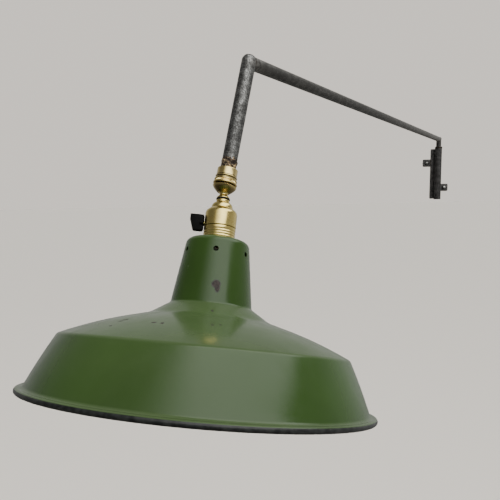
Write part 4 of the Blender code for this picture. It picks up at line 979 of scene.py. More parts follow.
def slotted_screw_tree():
    """Round-head slotted screws, one on each point, heads towards +Z, slots at odd angles."""
    tree, given = growing_tree(
        "slotted screws",
        [("Head Radius", NUMBER), ("Head Height", NUMBER), ("Slot Width", NUMBER), ("Slot Depth", NUMBER),
         ("Shank Radius", NUMBER), ("Shank Length", NUMBER), ("Seed", WHOLE), ("Material", MATERIAL)],
    )
    ball = put(tree, "GeometryNodeMeshUVSphere", {"Segments": 48, "Rings": 32, "Radius": 1.0})
    squeeze = put(
        tree, "ShaderNodeCombineXYZ",
        {0: given["Head Radius"], 1: given["Head Radius"], 2: given["Head Height"]}
    )
    dome = put(tree, "GeometryNodeTransform", {"Geometry": ball.outputs[0], "Scale": squeeze.outputs[0]})
    wide = maths(tree, "MULTIPLY", given["Head Radius"], 4.0)
    under = put(tree, "ShaderNodeCombineXYZ", {0: wide, 1: wide, 2: wide}).outputs[0]
    below = put(tree, "GeometryNodeMeshCube", {"Size": under})
    drop = put(tree, "ShaderNodeCombineXYZ", {2: maths(tree, "MULTIPLY", wide, -0.5)}).outputs[0]
    lower = put(tree, "GeometryNodeTransform", {"Geometry": below.outputs[0], "Translation": drop})
    deep = maths(tree, "MULTIPLY", given["Slot Depth"], 2.0)
    slot_size = put(tree, "ShaderNodeCombineXYZ", {0: wide, 1: given["Slot Width"], 2: deep}).outputs[0]
    slot = put(tree, "GeometryNodeMeshCube", {"Size": slot_size})
    rise = put(tree, "ShaderNodeCombineXYZ", {2: given["Head Height"]}).outputs[0]
    raised = put(tree, "GeometryNodeTransform", {"Geometry": slot.outputs[0], "Translation": rise})
    cutters = put(tree, "GeometryNodeJoinGeometry")
    tree.links.new(lower.outputs[0], cutters.inputs[0])
    tree.links.new(raised.outputs[0], cutters.inputs[0])
    head = put(tree, "GeometryNodeMeshBoolean", {"Mesh 1": dome.outputs[0], "Mesh 2": cutters.outputs[0]},
               operation="DIFFERENCE", solver="EXACT")
    shank = put(
        tree, "GeometryNodeMeshCylinder",
        {"Vertices": 24, "Radius": given["Shank Radius"], "Depth": given["Shank Length"]},
    )
    sink = put(
        tree, "ShaderNodeCombineXYZ", {2: maths(tree, "MULTIPLY", given["Shank Length"], -0.5)}
    ).outputs[0]
    sunk = put(tree, "GeometryNodeTransform", {"Geometry": shank.outputs["Mesh"], "Translation": sink})
    screw = put(tree, "GeometryNodeJoinGeometry")
    tree.links.new(head.outputs[0], screw.inputs[0])
    tree.links.new(sunk.outputs[0], screw.inputs[0])
    chance = put(
        tree, "FunctionNodeRandomValue", {2: 0.0, 3: math.pi, "Seed": given["Seed"]}, data_type="FLOAT"
    ).outputs[1]
    turn = put(tree, "ShaderNodeCombineXYZ", {2: chance}).outputs[0]
    placed = put(
        tree, "GeometryNodeInstanceOnPoints",
        {"Points": given["Geometry"], "Instance": screw.outputs[0], "Rotation": turn},
    )
    ended(tree, placed.outputs[0], given["Material"])
    return tree


def weld_tree():
    """A bead of overlapping ripples laid along a line."""
    tree, given = growing_tree(
        "weld bead",
        [("Ripple Spacing", NUMBER), ("Bead Radius", NUMBER), ("Unevenness", NUMBER), ("Seed", WHOLE),
         ("Material", MATERIAL)],
    )
    line = put(tree, "GeometryNodeMeshToCurve", {"Mesh": given["Geometry"]})
    even = put(
        tree, "GeometryNodeResampleCurve", {"Curve": line.outputs[0], "Length": given["Ripple Spacing"]},
        mode="LENGTH",
    )
    ripple = put(tree, "GeometryNodeMeshIcoSphere", {"Radius": given["Bead Radius"], "Subdivisions": 3})
    flat = put(tree, "GeometryNodeTransform", {"Geometry": ripple.outputs[0], "Scale": (1.0, 1.0, 0.55)})
    low = maths(tree, "SUBTRACT", 1.0, given["Unevenness"])
    high = maths(tree, "ADD", 1.0, given["Unevenness"])
    chance = put(
        tree, "FunctionNodeRandomValue", {2: low, 3: high, "Seed": given["Seed"]}, data_type="FLOAT"
    ).outputs[1]
    along = put(tree, "GeometryNodeInputTangent").outputs[0]
    facing = put(tree, "FunctionNodeAlignRotationToVector", {"Vector": along}, axis="Z").outputs[0]
    placed = put(
        tree, "GeometryNodeInstanceOnPoints",
        {"Points": even.outputs[0], "Instance": flat.outputs[0], "Rotation": facing, "Scale": chance},
    )
    ended(tree, placed.outputs[0], given["Material"])
    return tree


def shade_tree():
    """The shade turned from its outline, with its row of vents punched round the neck."""
    tree, given = growing_tree(
        "pressed shade",
        [("Sides", WHOLE), ("Outline Points", WHOLE), ("Vent Count", WHOLE), ("Vent Radius", NUMBER),
         ("Vent Z", NUMBER), ("Neck Radius", NUMBER), ("First Vent", NUMBER), ("Rim Row", NUMBER),
         ("Inside Row", NUMBER), ("Outside", MATERIAL), ("Rim", MATERIAL), ("Inside", MATERIAL)],
    )
    across = maths(tree, "ADD", given["Sides"], 1.0)
    grid = put(
        tree, "GeometryNodeMeshGrid",
        {"Size X": 1.0, "Size Y": 1.0, "Vertices X": across, "Vertices Y": given["Outline Points"]},
    )
    spot = put(tree, "ShaderNodeSeparateXYZ", {0: put(tree, "GeometryNodeInputPosition").outputs[0]})
    last = maths(tree, "SUBTRACT", given["Outline Points"], 1.0)
    row = maths(tree, "MULTIPLY", maths(tree, "ADD", spot.outputs["Y"], 0.5), last)
    rowed = put(
        tree, "GeometryNodeStoreNamedAttribute", {"Geometry": grid.outputs[0], "Name": "row", "Value": row},
        data_type="FLOAT", domain="FACE",
    )
    nearest = maths(tree, "ROUND", row)
    sample = put(tree, "GeometryNodeSampleIndex", data_type="FLOAT_VECTOR", domain="POINT")
    tree.links.new(given["Geometry"], sample.inputs["Geometry"])
    tree.links.new(put(tree, "GeometryNodeInputPosition").outputs[0], sample.inputs["Value"])
    tree.links.new(nearest, sample.inputs["Index"])
    outline = put(tree, "ShaderNodeSeparateXYZ", {0: sample.outputs[0]})
    heading = maths(tree, "MULTIPLY", maths(tree, "ADD", spot.outputs["X"], 0.5), 2 * math.pi)
    x = maths(tree, "MULTIPLY", outline.outputs["X"], maths(tree, "COSINE", heading))
    y = maths(tree, "MULTIPLY", outline.outputs["X"], maths(tree, "SINE", heading))
    turned_place = put(tree, "ShaderNodeCombineXYZ", {0: x, 1: y, 2: outline.outputs["Z"]}).outputs[0]
    spun = put(
        tree, "GeometryNodeSetPosition", {"Geometry": rowed.outputs[0], "Position": turned_place}
    )
    closed = put(tree, "GeometryNodeMergeByDistance", {"Geometry": spun.outputs[0], "Distance": 0.002 * MM})

    punch = put(
        tree, "GeometryNodeMeshCylinder", {"Vertices": 40, "Radius": given["Vent Radius"], "Depth": 16 * MM}
    )
    reach = put(tree, "ShaderNodeCombineXYZ", {0: given["Neck Radius"], 2: given["Vent Z"]}).outputs[0]
    aimed = put(
        tree, "GeometryNodeTransform",
        {"Geometry": punch.outputs["Mesh"], "Rotation": (0, math.pi / 2, 0), "Translation": reach},
    )
    stops = put(
        tree, "GeometryNodeMeshLine", {"Count": given["Vent Count"], "Offset": (0, 0, 0)}
    )
    step = maths(tree, "DIVIDE", 2 * math.pi, given["Vent Count"])
    index = put(tree, "GeometryNodeInputIndex").outputs[0]
    vent_heading = maths(tree, "MULTIPLY_ADD", index, step, given["First Vent"])
    turn = put(tree, "ShaderNodeCombineXYZ", {2: vent_heading}).outputs[0]
    punches = put(
        tree, "GeometryNodeInstanceOnPoints",
        {"Points": stops.outputs[0], "Instance": aimed.outputs[0], "Rotation": turn},
    )
    real_punches = put(tree, "GeometryNodeRealizeInstances", {"Geometry": punches.outputs[0]})
    punched = put(
        tree, "GeometryNodeMeshBoolean",
        {"Mesh 1": closed.outputs[0], "Mesh 2": real_punches.outputs[0]},
        operation="DIFFERENCE", solver="EXACT",
    )
    real = put(tree, "GeometryNodeRealizeInstances", {"Geometry": punched.outputs[0]}).outputs[0]
    stored = put(tree, "GeometryNodeInputNamedAttribute", {"Name": "row"}, data_type="FLOAT").outputs[0]
    outside = put(tree, "GeometryNodeSetMaterial", {"Geometry": real, "Material": given["Outside"]})
    rim = put(
        tree, "GeometryNodeSetMaterial",
        {"Geometry": outside.outputs[0], "Material": given["Rim"],
         "Selection": maths(tree, "GREATER_THAN", stored, given["Rim Row"])},
    )
    inside = put(
        tree, "GeometryNodeSetMaterial",
        {"Geometry": rim.outputs[0], "Material": given["Inside"],
         "Selection": maths(tree, "GREATER_THAN", stored, given["Inside Row"])},
    )
    put(tree, "NodeGroupOutput", {"Geometry": inside.outputs[0]})
    return tree


KNURL = knurl_tree()
THREAD = thread_tree()
SCREWS = slotted_screw_tree()
WELD = weld_tree()
SHADE = shade_tree()


def line_of(points, closed=False):
    """A polyline as a bmesh of edges."""
    made = bmesh.new()
    corners = [made.verts.new(point) for point in points]
    for first, second in zip(corners, corners[1:]):
        made.edges.new((first, second))
    if closed:
        made.edges.new((corners[-1], corners[0]))
    return made


def weld(name, points, closed, place, body, radius, spacing, seed):
    mesh = grown(
        WELD,
        {"Ripple Spacing": spacing, "Bead Radius": radius, "Unevenness": 0.14, "Seed": seed,
         "Material": WELD_METAL},
        line_of(points, closed),
    )
    return piece(name, mesh, place, body, WELD_METAL, sharp=80)


# ---------------------------------------------------------------- bracket


def backing_bar():
    half = PLATE_WIDTH / 2
    top = PLATE_HEIGHT / 2
    snip = 2.2 * MM
    bar = plate(
        [(-half + snip, top), (half - snip, top), (half, top - snip), (half, -top + snip),
         (half - snip, -top), (-half + snip, -top), (-half, -top + snip), (-half, top - snip)],
        PLATE_THICKNESS,
    )
    piece("backing_bar", bar, WALL, "bracket", BRACKET_IRON, ["bracket_backplate"])


def fixing_lugs():
    """The two lugs with their welds and washers, and where the screw heads seat."""
    half = PLATE_WIDTH / 2
    seats = []
    for label, side, height in (("upper", -1, UPPER_LUG_Z), ("lower", 1, LOWER_LUG_Z)):
        near = side * (half + GAP)
        far = side * (half + GAP + LUG_WIDTH)
        high = height + LUG_HEIGHT / 2
        low = height - LUG_HEIGHT / 2
        corner = side * 3 * MM
        outline = [(near, high), (far - corner, high), (far, high - abs(corner)), (far, low + abs(corner)),
                   (far - corner, low), (near, low)]
        middle = (near + far) / 2
        lug = plate(outline, PLATE_THICKNESS, (middle, height), LUG_HOLE_RADIUS)
        piece(f"{label}_lug", lug, WALL, "bracket", BRACKET_IRON, [f"{label}_fixing_lug"])
        seam = side * (half + GAP / 2)
        seam_y = -PLATE_THICKNESS + 0.2 * MM
        weld(
            f"{label}_lug_weld",
            [(seam, seam_y, low + 1.5 * MM), (seam, seam_y, high - 1.5 * MM)],
            False, WALL, "bracket", 1.9 * MM, 1.3 * MM, 4 + side,
        )
        face = -PLATE_THICKNESS - GAP
        washer = flat_ring(
            SCREW_WASHER_BORE, SCREW_WASHER_RADIUS, 0, SCREW_WASHER_THICKNESS, 0.3 * MM, 0.4 * MM
        )
        out_of_wall = Matrix.Translation((middle, face, height)) @ Matrix.Rotation(math.pi / 2, 4, "X")
        piece(f"{label}_washer", washer, out_of_wall, "bracket", DULL_ZINC, [f"{label}_screw_washer"])
        seats.append((middle, face - SCREW_WASHER_THICKNESS - GAP, height))
    return seats


def wall_screws(seats):
    points = bmesh.new()
    for x, y, z in seats:
        points.verts.new((x, z, -y))
    screws = grown(
        SCREWS,
        {"Head Radius": SCREW_HEAD_RADIUS, "Head Height": SCREW_HEAD_HEIGHT, "Slot Width": SCREW_SLOT_WIDTH,
         "Slot Depth": SCREW_SLOT_DEPTH, "Shank Radius": SCREW_SHANK_RADIUS,
         "Shank Length": SCREW_SHANK_LENGTH, "Seed": 5, "Material": ZINC},
        points,
    )
    stand_up = Matrix(((1, 0, 0, 0), (0, 0, -1, 0), (0, 1, 0, 0), (0, 0, 0, 1)))
    piece("wall_screws", screws, stand_up, "bracket", ZINC, ["upper_wall_screw", "lower_wall_screw"])


def pivot_socket():
    top = PLATE_HEIGHT / 2
    bore = SOCKET_RADIUS - SOCKET_WALL
    socket = turned(
        softened([
            (bore, SOCKET_FOOT), (SOCKET_RADIUS, SOCKET_FOOT, 0.8 * MM),
            (SOCKET_RADIUS, SOCKET_TOP, 0.8 * MM),
            (bore, SOCKET_TOP, 0.4 * MM),
        ])
    )
    piece("pivot_socket_tube", socket, PIVOT, "bracket", BRACKET_IRON, ["pivot_socket"])
    side_reach = 6.2 * MM
    for label, side in (("left", -1), ("right", 1)):
        seam = pivot_place.x + side * side_reach
        seam_y = -PLATE_THICKNESS - 1.3 * MM
        weld(
            f"{label}_socket_weld", [(seam, seam_y, -top + 4 * MM), (seam, seam_y, top - 4 * MM)], False,
            WALL,
            "bracket", 2.4 * MM, 1.7 * MM, 11 + side,
        )


def pivot_parts():
    foot = SOCKET_TOP + GAP
    washer = flat_ring(
        PIVOT_WASHER_BORE, PIVOT_WASHER_RADIUS, foot, foot + PIVOT_WASHER_THICKNESS, 0.5 * MM, 0.5 * MM
    )
    piece("thrust_washer", washer, PIVOT, "bracket", WALL_BRONZE, ["pivot_washer"])
    collar_foot = foot + GAP + PIVOT_WASHER_THICKNESS
    collar = flat_ring(
        ARM_RADIUS, COLLAR_RADIUS, collar_foot, collar_foot + COLLAR_HEIGHT, 0.6 * MM, 0.9 * MM
    )
    piece("thrust_collar", collar, PIVOT, "arm", PIN_STEEL, ["pivot_collar"])


def cut_tube(radius, bore, low, high, along, point, normal):
    """A tube cut off square at one end and on the mitre plane at the other."""
    count = max(2, int(abs(high - low) / (30 * MM)))
    outside = [(radius, low + (high - low) * step / count) for step in range(count + 1)]
    made = turned([(bore, low)] + outside + [(bore, high)], 64)
    bmesh.ops.transform(made, matrix=along, verts=made.verts)
    bmesh.ops.bisect_plane(
        made, geom=made.verts[:] + made.edges[:] + made.faces[:], plane_co=point, plane_no=normal,
        clear_outer=True, dist=1e-7,
    )
    rims = [edge for edge in made.edges if edge.is_boundary]
    bmesh.ops.bridge_loops(made, edges=rims)
    bmesh.ops.recalc_face_normals(made, faces=made.faces)
    return made


def long_arm():
    """Pivot pin and long arm mitred together, with the weld round the mitre."""
    bore = ARM_RADIUS - TUBE_WALL
    mitre = Vector((1, 0, 1)).normalized()
    pin_foot = SOCKET_FOOT + 6.6 * MM
    pin = cut_tube(ARM_RADIUS, bore, pin_foot, 2 * ARM_RADIUS, Matrix.Identity(4), -mitre * 0.01 * MM, mitre)
    piece("pivot_pin_tube", pin, PIVOT, "arm", PIN_STEEL, ["pivot_pin"])
    lay_down = Matrix.Rotation(math.pi / 2, 4, "Y")
    end = ARM_LENGTH - 5.5 * MM
    tube = cut_tube(ARM_RADIUS, bore, -2 * ARM_RADIUS, end, lay_down, mitre * 0.01 * MM, -mitre)
    piece("long_arm_tube", tube, PIVOT, "arm", ARM_STEEL, ["arm_tube"])
    ring = []
    for step in range(48):
        angle = 2 * math.pi * step / 48
        x = -ARM_RADIUS * math.cos(angle)
        ring.append((x, ARM_RADIUS * math.sin(angle), -x))
    weld("mitre_weld", ring, True, PIVOT, "arm", 1.0 * MM, 1.2 * MM, 8)


def tube_radius(height):
    """Radius of the drop tube's outside at a height from the arm's axis, domed at its top."""
    rise = max(0.0, height - DOME_FOOT) / DOME_HEIGHT
    return DROP_RADIUS * max(0.0, 1 - min(1.0, rise) ** DOME_FULLNESS) ** (1 / DOME_FULLNESS)


def saddle_line():
    """Where the arm's surface meets the drop tube, in the drop tube's frame."""
    to_drop = DROP.inverted() @ PIVOT
    start = to_drop.to_translation()
    along = (to_drop.to_3x3() @ Vector((1, 0, 0))).normalized()
    points = []
    for step in range(56):
        angle = 2 * math.pi * step / 56
        offset = to_drop.to_3x3() @ Vector((0, math.cos(angle), math.sin(angle))) * ARM_RADIUS
        spot = start + offset + along * (ARM_LENGTH - 30 * MM)
        while spot.xy.length > tube_radius(spot.z - DROP_LENGTH) and (spot - start).dot(along) < ARM_LENGTH:
            spot += along * 0.1 * MM
        points.append(spot)
    return points


def drop_tube():
    bore = DROP_RADIUS - TUBE_WALL
    foot = CUP_HEIGHT + GAP + BUSH_FACE_LENGTH
    dome_foot = DROP_LENGTH + DOME_FOOT
    count = 12
    outside = [(DROP_RADIUS, foot + (dome_foot - foot) * step / count) for step in range(count + 1)]
    tube = turned([(bore, foot), (DROP_RADIUS - 0.4 * MM, foot)] + outside + [(bore, dome_foot)], 80)
    piece(
        "leaning_drop_tube", shaken(tube, 0.12 * MM, 160), DROP, "arm", DROP_STEEL,
        ["drop_tube"],
    )
    dome = [(0, dome_foot - 4 * MM), (bore - 0.1 * MM, dome_foot - 4 * MM), (bore - 0.1 * MM, dome_foot)]
    rise_steps = 16
    for step in range(rise_steps):
        height = DOME_FOOT + DOME_HEIGHT * math.sin(step / rise_steps * math.pi / 2)
        dome.append((tube_radius(height), DROP_LENGTH + height))
    dome.append((0, DROP_LENGTH + DOME_FOOT + DOME_HEIGHT))
    end = shaken(turned(dome, 80), 0.25 * MM, 180)
    piece("drop_tube_end", end, DROP, "arm", DROP_STEEL, ["drop_tube_cap"])
    weld("elbow_weld", saddle_line(), True, DROP, "arm", 1.0 * MM, 0.8 * MM, 21)

    braze_foot = CUP_HEIGHT + GAP
    run = BUSH_FACE_LENGTH + BRAZE_RUN
    lumps = [(THREAD_BORE, braze_foot)]
    steps = 20
    for step in range(steps + 1):
        share = step / steps
        swell = 0.15 + 0.35 * math.sin(math.pi * share) + 0.2 * math.sin(9 * share + 1)
        lumps.append((DROP_RADIUS + (swell - 0.15) * MM, braze_foot + share * run))
    lumps += [
        (DROP_RADIUS - 0.5 * MM, braze_foot + run), (bore, foot + 0.1 * MM),
        (THREAD_BORE, foot - 0.3 * MM),
    ]
    bush = shaken(turned(lumps), 0.9 * MM, 330, 7.0)
    piece("brazed_foot", bush, DROP, "arm", BRAZING, ["brazed_bush"], sharp=60)


# ---------------------------------------------------------------- ball joint


def joint_cup():
    bead = arc((CUP_RADIUS - 0.1 * MM, CUP_BEAD_Z), 1.0 * MM, 75, -75, 10)
    outline = softened([
        (THREAD_BORE, CUP_HEIGHT), (CUP_RADIUS, CUP_HEIGHT, 1.1 * MM), (CUP_RADIUS, CUP_BEAD_Z + 1.3 * MM),
    ], closed=False, steps=6)
    outline += bead
    outline += softened([
        (CUP_RADIUS, CUP_BEAD_Z - 1.3 * MM), (CUP_RADIUS, LOCK_RING_TOP + GAP, 0.5 * MM),
        (CUP_THREAD_RADIUS - 0.3 * MM, LOCK_RING_TOP + GAP), (CUP_THREAD_RADIUS - 0.3 * MM, -1.2 * MM),
        (CUP_BORE, -1.2 * MM), (CUP_BORE, CUP_CEILING), (THREAD_BORE, CUP_CEILING),
    ], closed=False)
    piece("joint_cup", turned(outline), DROP, "arm", JOINT_BRASS, ["ball_joint_cup"])

    bore = CUP_THREAD_RADIUS + GAP
    foot_bead = arc((LOCK_RING_RADIUS - 0.5 * MM, LOCK_RING_FOOT + 1.6 * MM), 1.25 * MM, -85, 70, 8)
    outline = [(bore, LOCK_RING_FOOT + 0.4 * MM)] + foot_bead
    outline += softened([
        (LOCK_RING_RADIUS - 0.9 * MM, LOCK_RING_FOOT + 3.1 * MM),
        (LOCK_RING_RADIUS - 0.9 * MM, LOCK_RING_TOP - 1.6 * MM),
        (LOCK_RING_RADIUS - 0.1 * MM, LOCK_RING_TOP - 1.3 * MM, 0.3 * MM),
        (LOCK_RING_RADIUS - 0.1 * MM, LOCK_RING_TOP, 0.5 * MM), (bore, LOCK_RING_TOP),
    ], closed=False)
    piece("lock_ring", turned(outline), DROP, "arm", JOINT_BRASS, ["joint_lock_ring"])
    knurl = grown(KNURL, {
        "Ridge Count": 84, "Ring Radius": LOCK_RING_RADIUS - 0.92 * MM, "Ridge Height": 1.9 * MM,
        "Ridge Width": 0.5 * MM, "Ridge Z": LOCK_RING_FOOT + 4.2 * MM, "Material": JOINT_BRASS,
    })
    piece("lock_ring_knurl", knurl, DROP, "arm", JOINT_BRASS)

    rim = JOINT_CAP_TOP - 1.4 * MM
    widest = JOINT_CAP_RADIUS - 0.1 * MM
    lip_share = (JOINT_MOUTH_RADIUS + 0.7 * MM) / widest
    depth = (rim - JOINT_CAP_FOOT) / (1 - lip_share ** DOME_SLACK) ** (1 / DOME_SLACK)
    outline = [(bore, JOINT_CAP_TOP - 0.9 * MM), (bore, -1.5 * MM)]
    outline += arc((0, 0), BALL_RADIUS + GAP, -9, -43, 8)
    outline += [
        (JOINT_MOUTH_RADIUS, JOINT_CAP_FOOT + 0.5 * MM),
        (JOINT_MOUTH_RADIUS + 0.2 * MM, JOINT_CAP_FOOT + 0.15 * MM),
    ]
    for step in range(25):
        fall = (rim - JOINT_CAP_FOOT) * (1 - (step / 24) ** 1.5)
        outline.append((widest * (1 - (fall / depth) ** DOME_SLACK) ** (1 / DOME_SLACK), rim - fall))
    outline.append((widest - 0.4 * MM, JOINT_CAP_TOP - 0.9 * MM))
    piece("domed_cap", turned(outline), DROP, "arm", JOINT_BRASS, ["ball_joint_cap"])


def ball_and_stem():
    neck_z = -7.9 * MM
    outline = [(WIRE_BORE, STEM_END)]
    outline += arc((0, 0), BALL_RADIUS, 72, -53, 28)
    outline += softened([
        (STEM_WAIST_RADIUS + 0.1 * MM, neck_z - 0.6 * MM, 0.8 * MM),
        (STEM_WAIST_RADIUS - 0.2 * MM, neck_z - 2.2 * MM, 1.5 * MM),
        (STEM_WAIST_RADIUS + 0.5 * MM, neck_z - 3.6 * MM, 1.2 * MM),
        (STEM_SKIRT_RADIUS - 0.5 * MM, STEM_FOOT + 1.6 * MM, 0.9 * MM),
        (STEM_SKIRT_RADIUS, STEM_FOOT + 0.8 * MM, 0.4 * MM),
        (STEM_SKIRT_RADIUS, STEM_FOOT, 0.3 * MM), (THREAD_RADIUS, STEM_FOOT), (THREAD_RADIUS, STEM_END),
    ], closed=False)
    piece("ball_and_stem", turned(outline), LAMP, "lamp_head", HOLDER_BRASS, ["ball_stem"])
    ring = flat_ring(THREAD_BORE, RUBBER_RADIUS, RUBBER_FOOT, RUBBER_TOP, 0.9 * MM, 0.9 * MM)
    piece("rubber_ring", ring, LAMP, "lamp_head", RUBBER, ["stem_rubber_ring"])
    nut_top = RUBBER_FOOT - GAP
    nut = flat_ring(THREAD_BORE, NUT_RADIUS, NUT_FOOT, nut_top, 0.3 * MM, 0.6 * MM)
    piece("collar_nut", nut, LAMP, "lamp_head", HOLDER_BRASS, ["stem_collar_nut"])


# ---------------------------------------------------------------- lampholder


def lampholder():
    spread = CAP_FOOT_RADIUS - CAP_TOP_RADIUS
    fall = CAP_TOP - CAP_FOOT
    outline = [(THREAD_BORE, CAP_TOP), (CAP_TOP_RADIUS - 0.2 * MM, CAP_TOP)]
    for step in range(13):
        share = step / 12
        outline.append((
            CAP_TOP_RADIUS + spread * math.sin(share * math.pi / 2) ** 1.15,
            CAP_TOP - fall * (0.35 * share + 0.65 * share ** 2.2),
        ))
    spigot_foot = CAP_FOOT - CAP_SPIGOT_LENGTH
    ceiling = CAP_TOP - 0.6 * fall
    outline += [
        (CAP_SPIGOT_RADIUS, CAP_FOOT), (CAP_SPIGOT_RADIUS, spigot_foot), (CAP_SPIGOT_BORE, spigot_foot),
        (CAP_SPIGOT_BORE, ceiling), (THREAD_BORE, ceiling),
    ]
    piece("holder_dome", turned(outline), LAMP, "lamp_head", HOLDER_BRASS, ["holder_cap"])

    inside = HOLDER_RADIUS - HOLDER_WALL
    shoulder_foot = BODY_TOP - SHOULDER_HEIGHT
    outline = softened([
        (BODY_MOUTH, BODY_TOP), (CAP_FOOT_RADIUS + 0.6 * MM, BODY_TOP, 0.4 * MM),
        (HOLDER_RADIUS - 0.9 * MM, shoulder_foot + 1.1 * MM, 2.6 * MM),
        (HOLDER_RADIUS, shoulder_foot - 1.2 * MM, 1.6 * MM),
        (HOLDER_RADIUS, BODY_FOOT, 0.5 * MM), (inside, BODY_FOOT),
        (inside, shoulder_foot - HOLDER_WALL), (CAP_FOOT_RADIUS, BODY_TOP - 2 * HOLDER_WALL),
        (BODY_MOUTH, BODY_TOP - 2 * HOLDER_WALL),
    ], steps=6)
    piece("holder_shell", turned(outline), LAMP, "lamp_head", HOLDER_BRASS, ["holder_body"])

    crests = [
        (SKIRT_BORE, SKIRT_TOP), (HOLDER_RADIUS - 0.5 * MM, SKIRT_TOP),
        (HOLDER_RADIUS - 0.1 * MM, SKIRT_TOP - 0.5 * MM),
    ]
    ridge_count = 4
    ridge_top = SKIRT_TOP - 3.2 * MM
    pitch = (ridge_top - SKIRT_STEP - 1.0 * MM) / ridge_count
    crests.append((HOLDER_RADIUS, ridge_top))
    for ridge in range(ridge_count):
        top = ridge_top - ridge * pitch
        for step in range(1, 9):
            share = step / 8
            dip = 0.62 * MM * (0.5 - 0.5 * math.cos(2 * math.pi * share))
            crests.append((HOLDER_RADIUS - dip, top - share * pitch))
    crests += [(HOLDER_RADIUS, SKIRT_STEP), (SKIRT_THREAD_RADIUS - 0.35 * MM, SKIRT_STEP),
               (SKIRT_THREAD_RADIUS - 0.35 * MM, SKIRT_FOOT), (SKIRT_BORE, SKIRT_FOOT)]
    piece("ridged_skirt", turned(crests), LAMP, "lamp_head", HOLDER_BRASS, ["holder_skirt"])
    thread = grown(THREAD, {
        "Thread Radius": SKIRT_THREAD_RADIUS - 0.42 * MM, "Pitch": 1.8 * MM, "Turns": 5.0, "Crest": 0.4 * MM,
        "Thread Foot": SKIRT_FOOT + 1.0 * MM, "Material": HOLDER_BRASS,
    })
    piece("skirt_thread", thread, LAMP, "lamp_head", SHADE_DARKENED_BRASS, sharp=80)

    ring_top = SHADE_TOP - SHADE_WALL - GAP
    ring = flat_ring(
        SHADE_HOLE_RADIUS, SHADE_RING_RADIUS, ring_top - SHADE_RING_HEIGHT, ring_top, 0.6 * MM, 0.6 * MM
    )
    piece("clamping_ring", ring, LAMP, "lamp_head", SHADE_DARKENED_BRASS, ["shade_ring"])
    knurl = grown(KNURL, {
        "Ridge Count": 90, "Ring Radius": SHADE_RING_RADIUS - 0.1 * MM, "Ridge Height": 2.8 * MM,
        "Ridge Width": 0.85 * MM,
        "Ridge Z": ring_top - SHADE_RING_HEIGHT / 2, "Material": HOLDER_BRASS,
    })
    piece("clamping_ring_knurl", knurl, LAMP, "lamp_head", SHADE_DARKENED_BRASS)


def key():
    """Paddle key: flat tapering sides, eased all round, on a short hub."""
    half = KNOB_HEIGHT / 2
    shares = (
        (0.78, 0.01), (1.0, 0.08), (1.0, 0.96), (0.94, 1.0), (0.34, 1.0), (-0.90, 0.76), (-1.0, 0.68),
        (-1.0, 0.12), (-0.84, 0.01),
    )
    inner = KNOB_FACE - 1.1 * MM
    outline = [(up * half, inner + out * (KNOB_FACE + KNOB_REACH - inner)) for up, out in shares]
    paddle = bmesh.new()
    thick = KNOB_THICKNESS / 2
    layers = []
    for y, share in ((-thick, 0.90), (-0.6 * thick, 1.0), (0.6 * thick, 1.0), (thick, 0.90)):
        centre_z = KNOB_FACE + 0.5 * KNOB_REACH
        layers.append(
            [paddle.verts.new((x * share, y, centre_z + (z - centre_z) * share)) for x, z in outline]
        )
    paddle.faces.new(layers[0])
    paddle.faces.new(layers[-1])
    count = len(outline)
    for low, high in zip(layers, layers[1:]):
        for step in range(count):
            following = (step + 1) % count
            paddle.faces.new((low[step], low[following], high[following], high[step]))
    bmesh.ops.recalc_face_normals(paddle, faces=paddle.faces)
    mesh = bevelled(paddle, 0.55 * MM, 3, 18)
    piece("paddle_key", mesh, SWITCH, "switch_key", BLACK_RESIN, ["switch_knob"], sharp=50)
    hub = turned(
        softened([
            (0, KNOB_FACE + 4 * MM), (4.4 * MM, KNOB_FACE + 4 * MM),
            (4.4 * MM, KNOB_FACE - 0.6 * MM, 0.4 * MM),
            (3.6 * MM, KNOB_FACE - 1.3 * MM, 0.3 * MM), (0, KNOB_FACE - 1.3 * MM),
        ], closed=False), 48
    )
    piece("key_hub", hub, SWITCH, "switch_key", BLACK_RESIN)


# ---------------------------------------------------------------- shade and bulb


def offset_line(points, wall):
    """The line's other side, a wall's thickness inwards."""
    moved = []
    for index, (r, z) in enumerate(points):
        before = points[max(index - 1, 0)]
        after = points[min(index + 1, len(points) - 1)]
        along = Vector((after[0] - before[0], after[1] - before[1])).normalized()
        moved.append((r + along.y * wall, z - along.x * wall))
    return moved


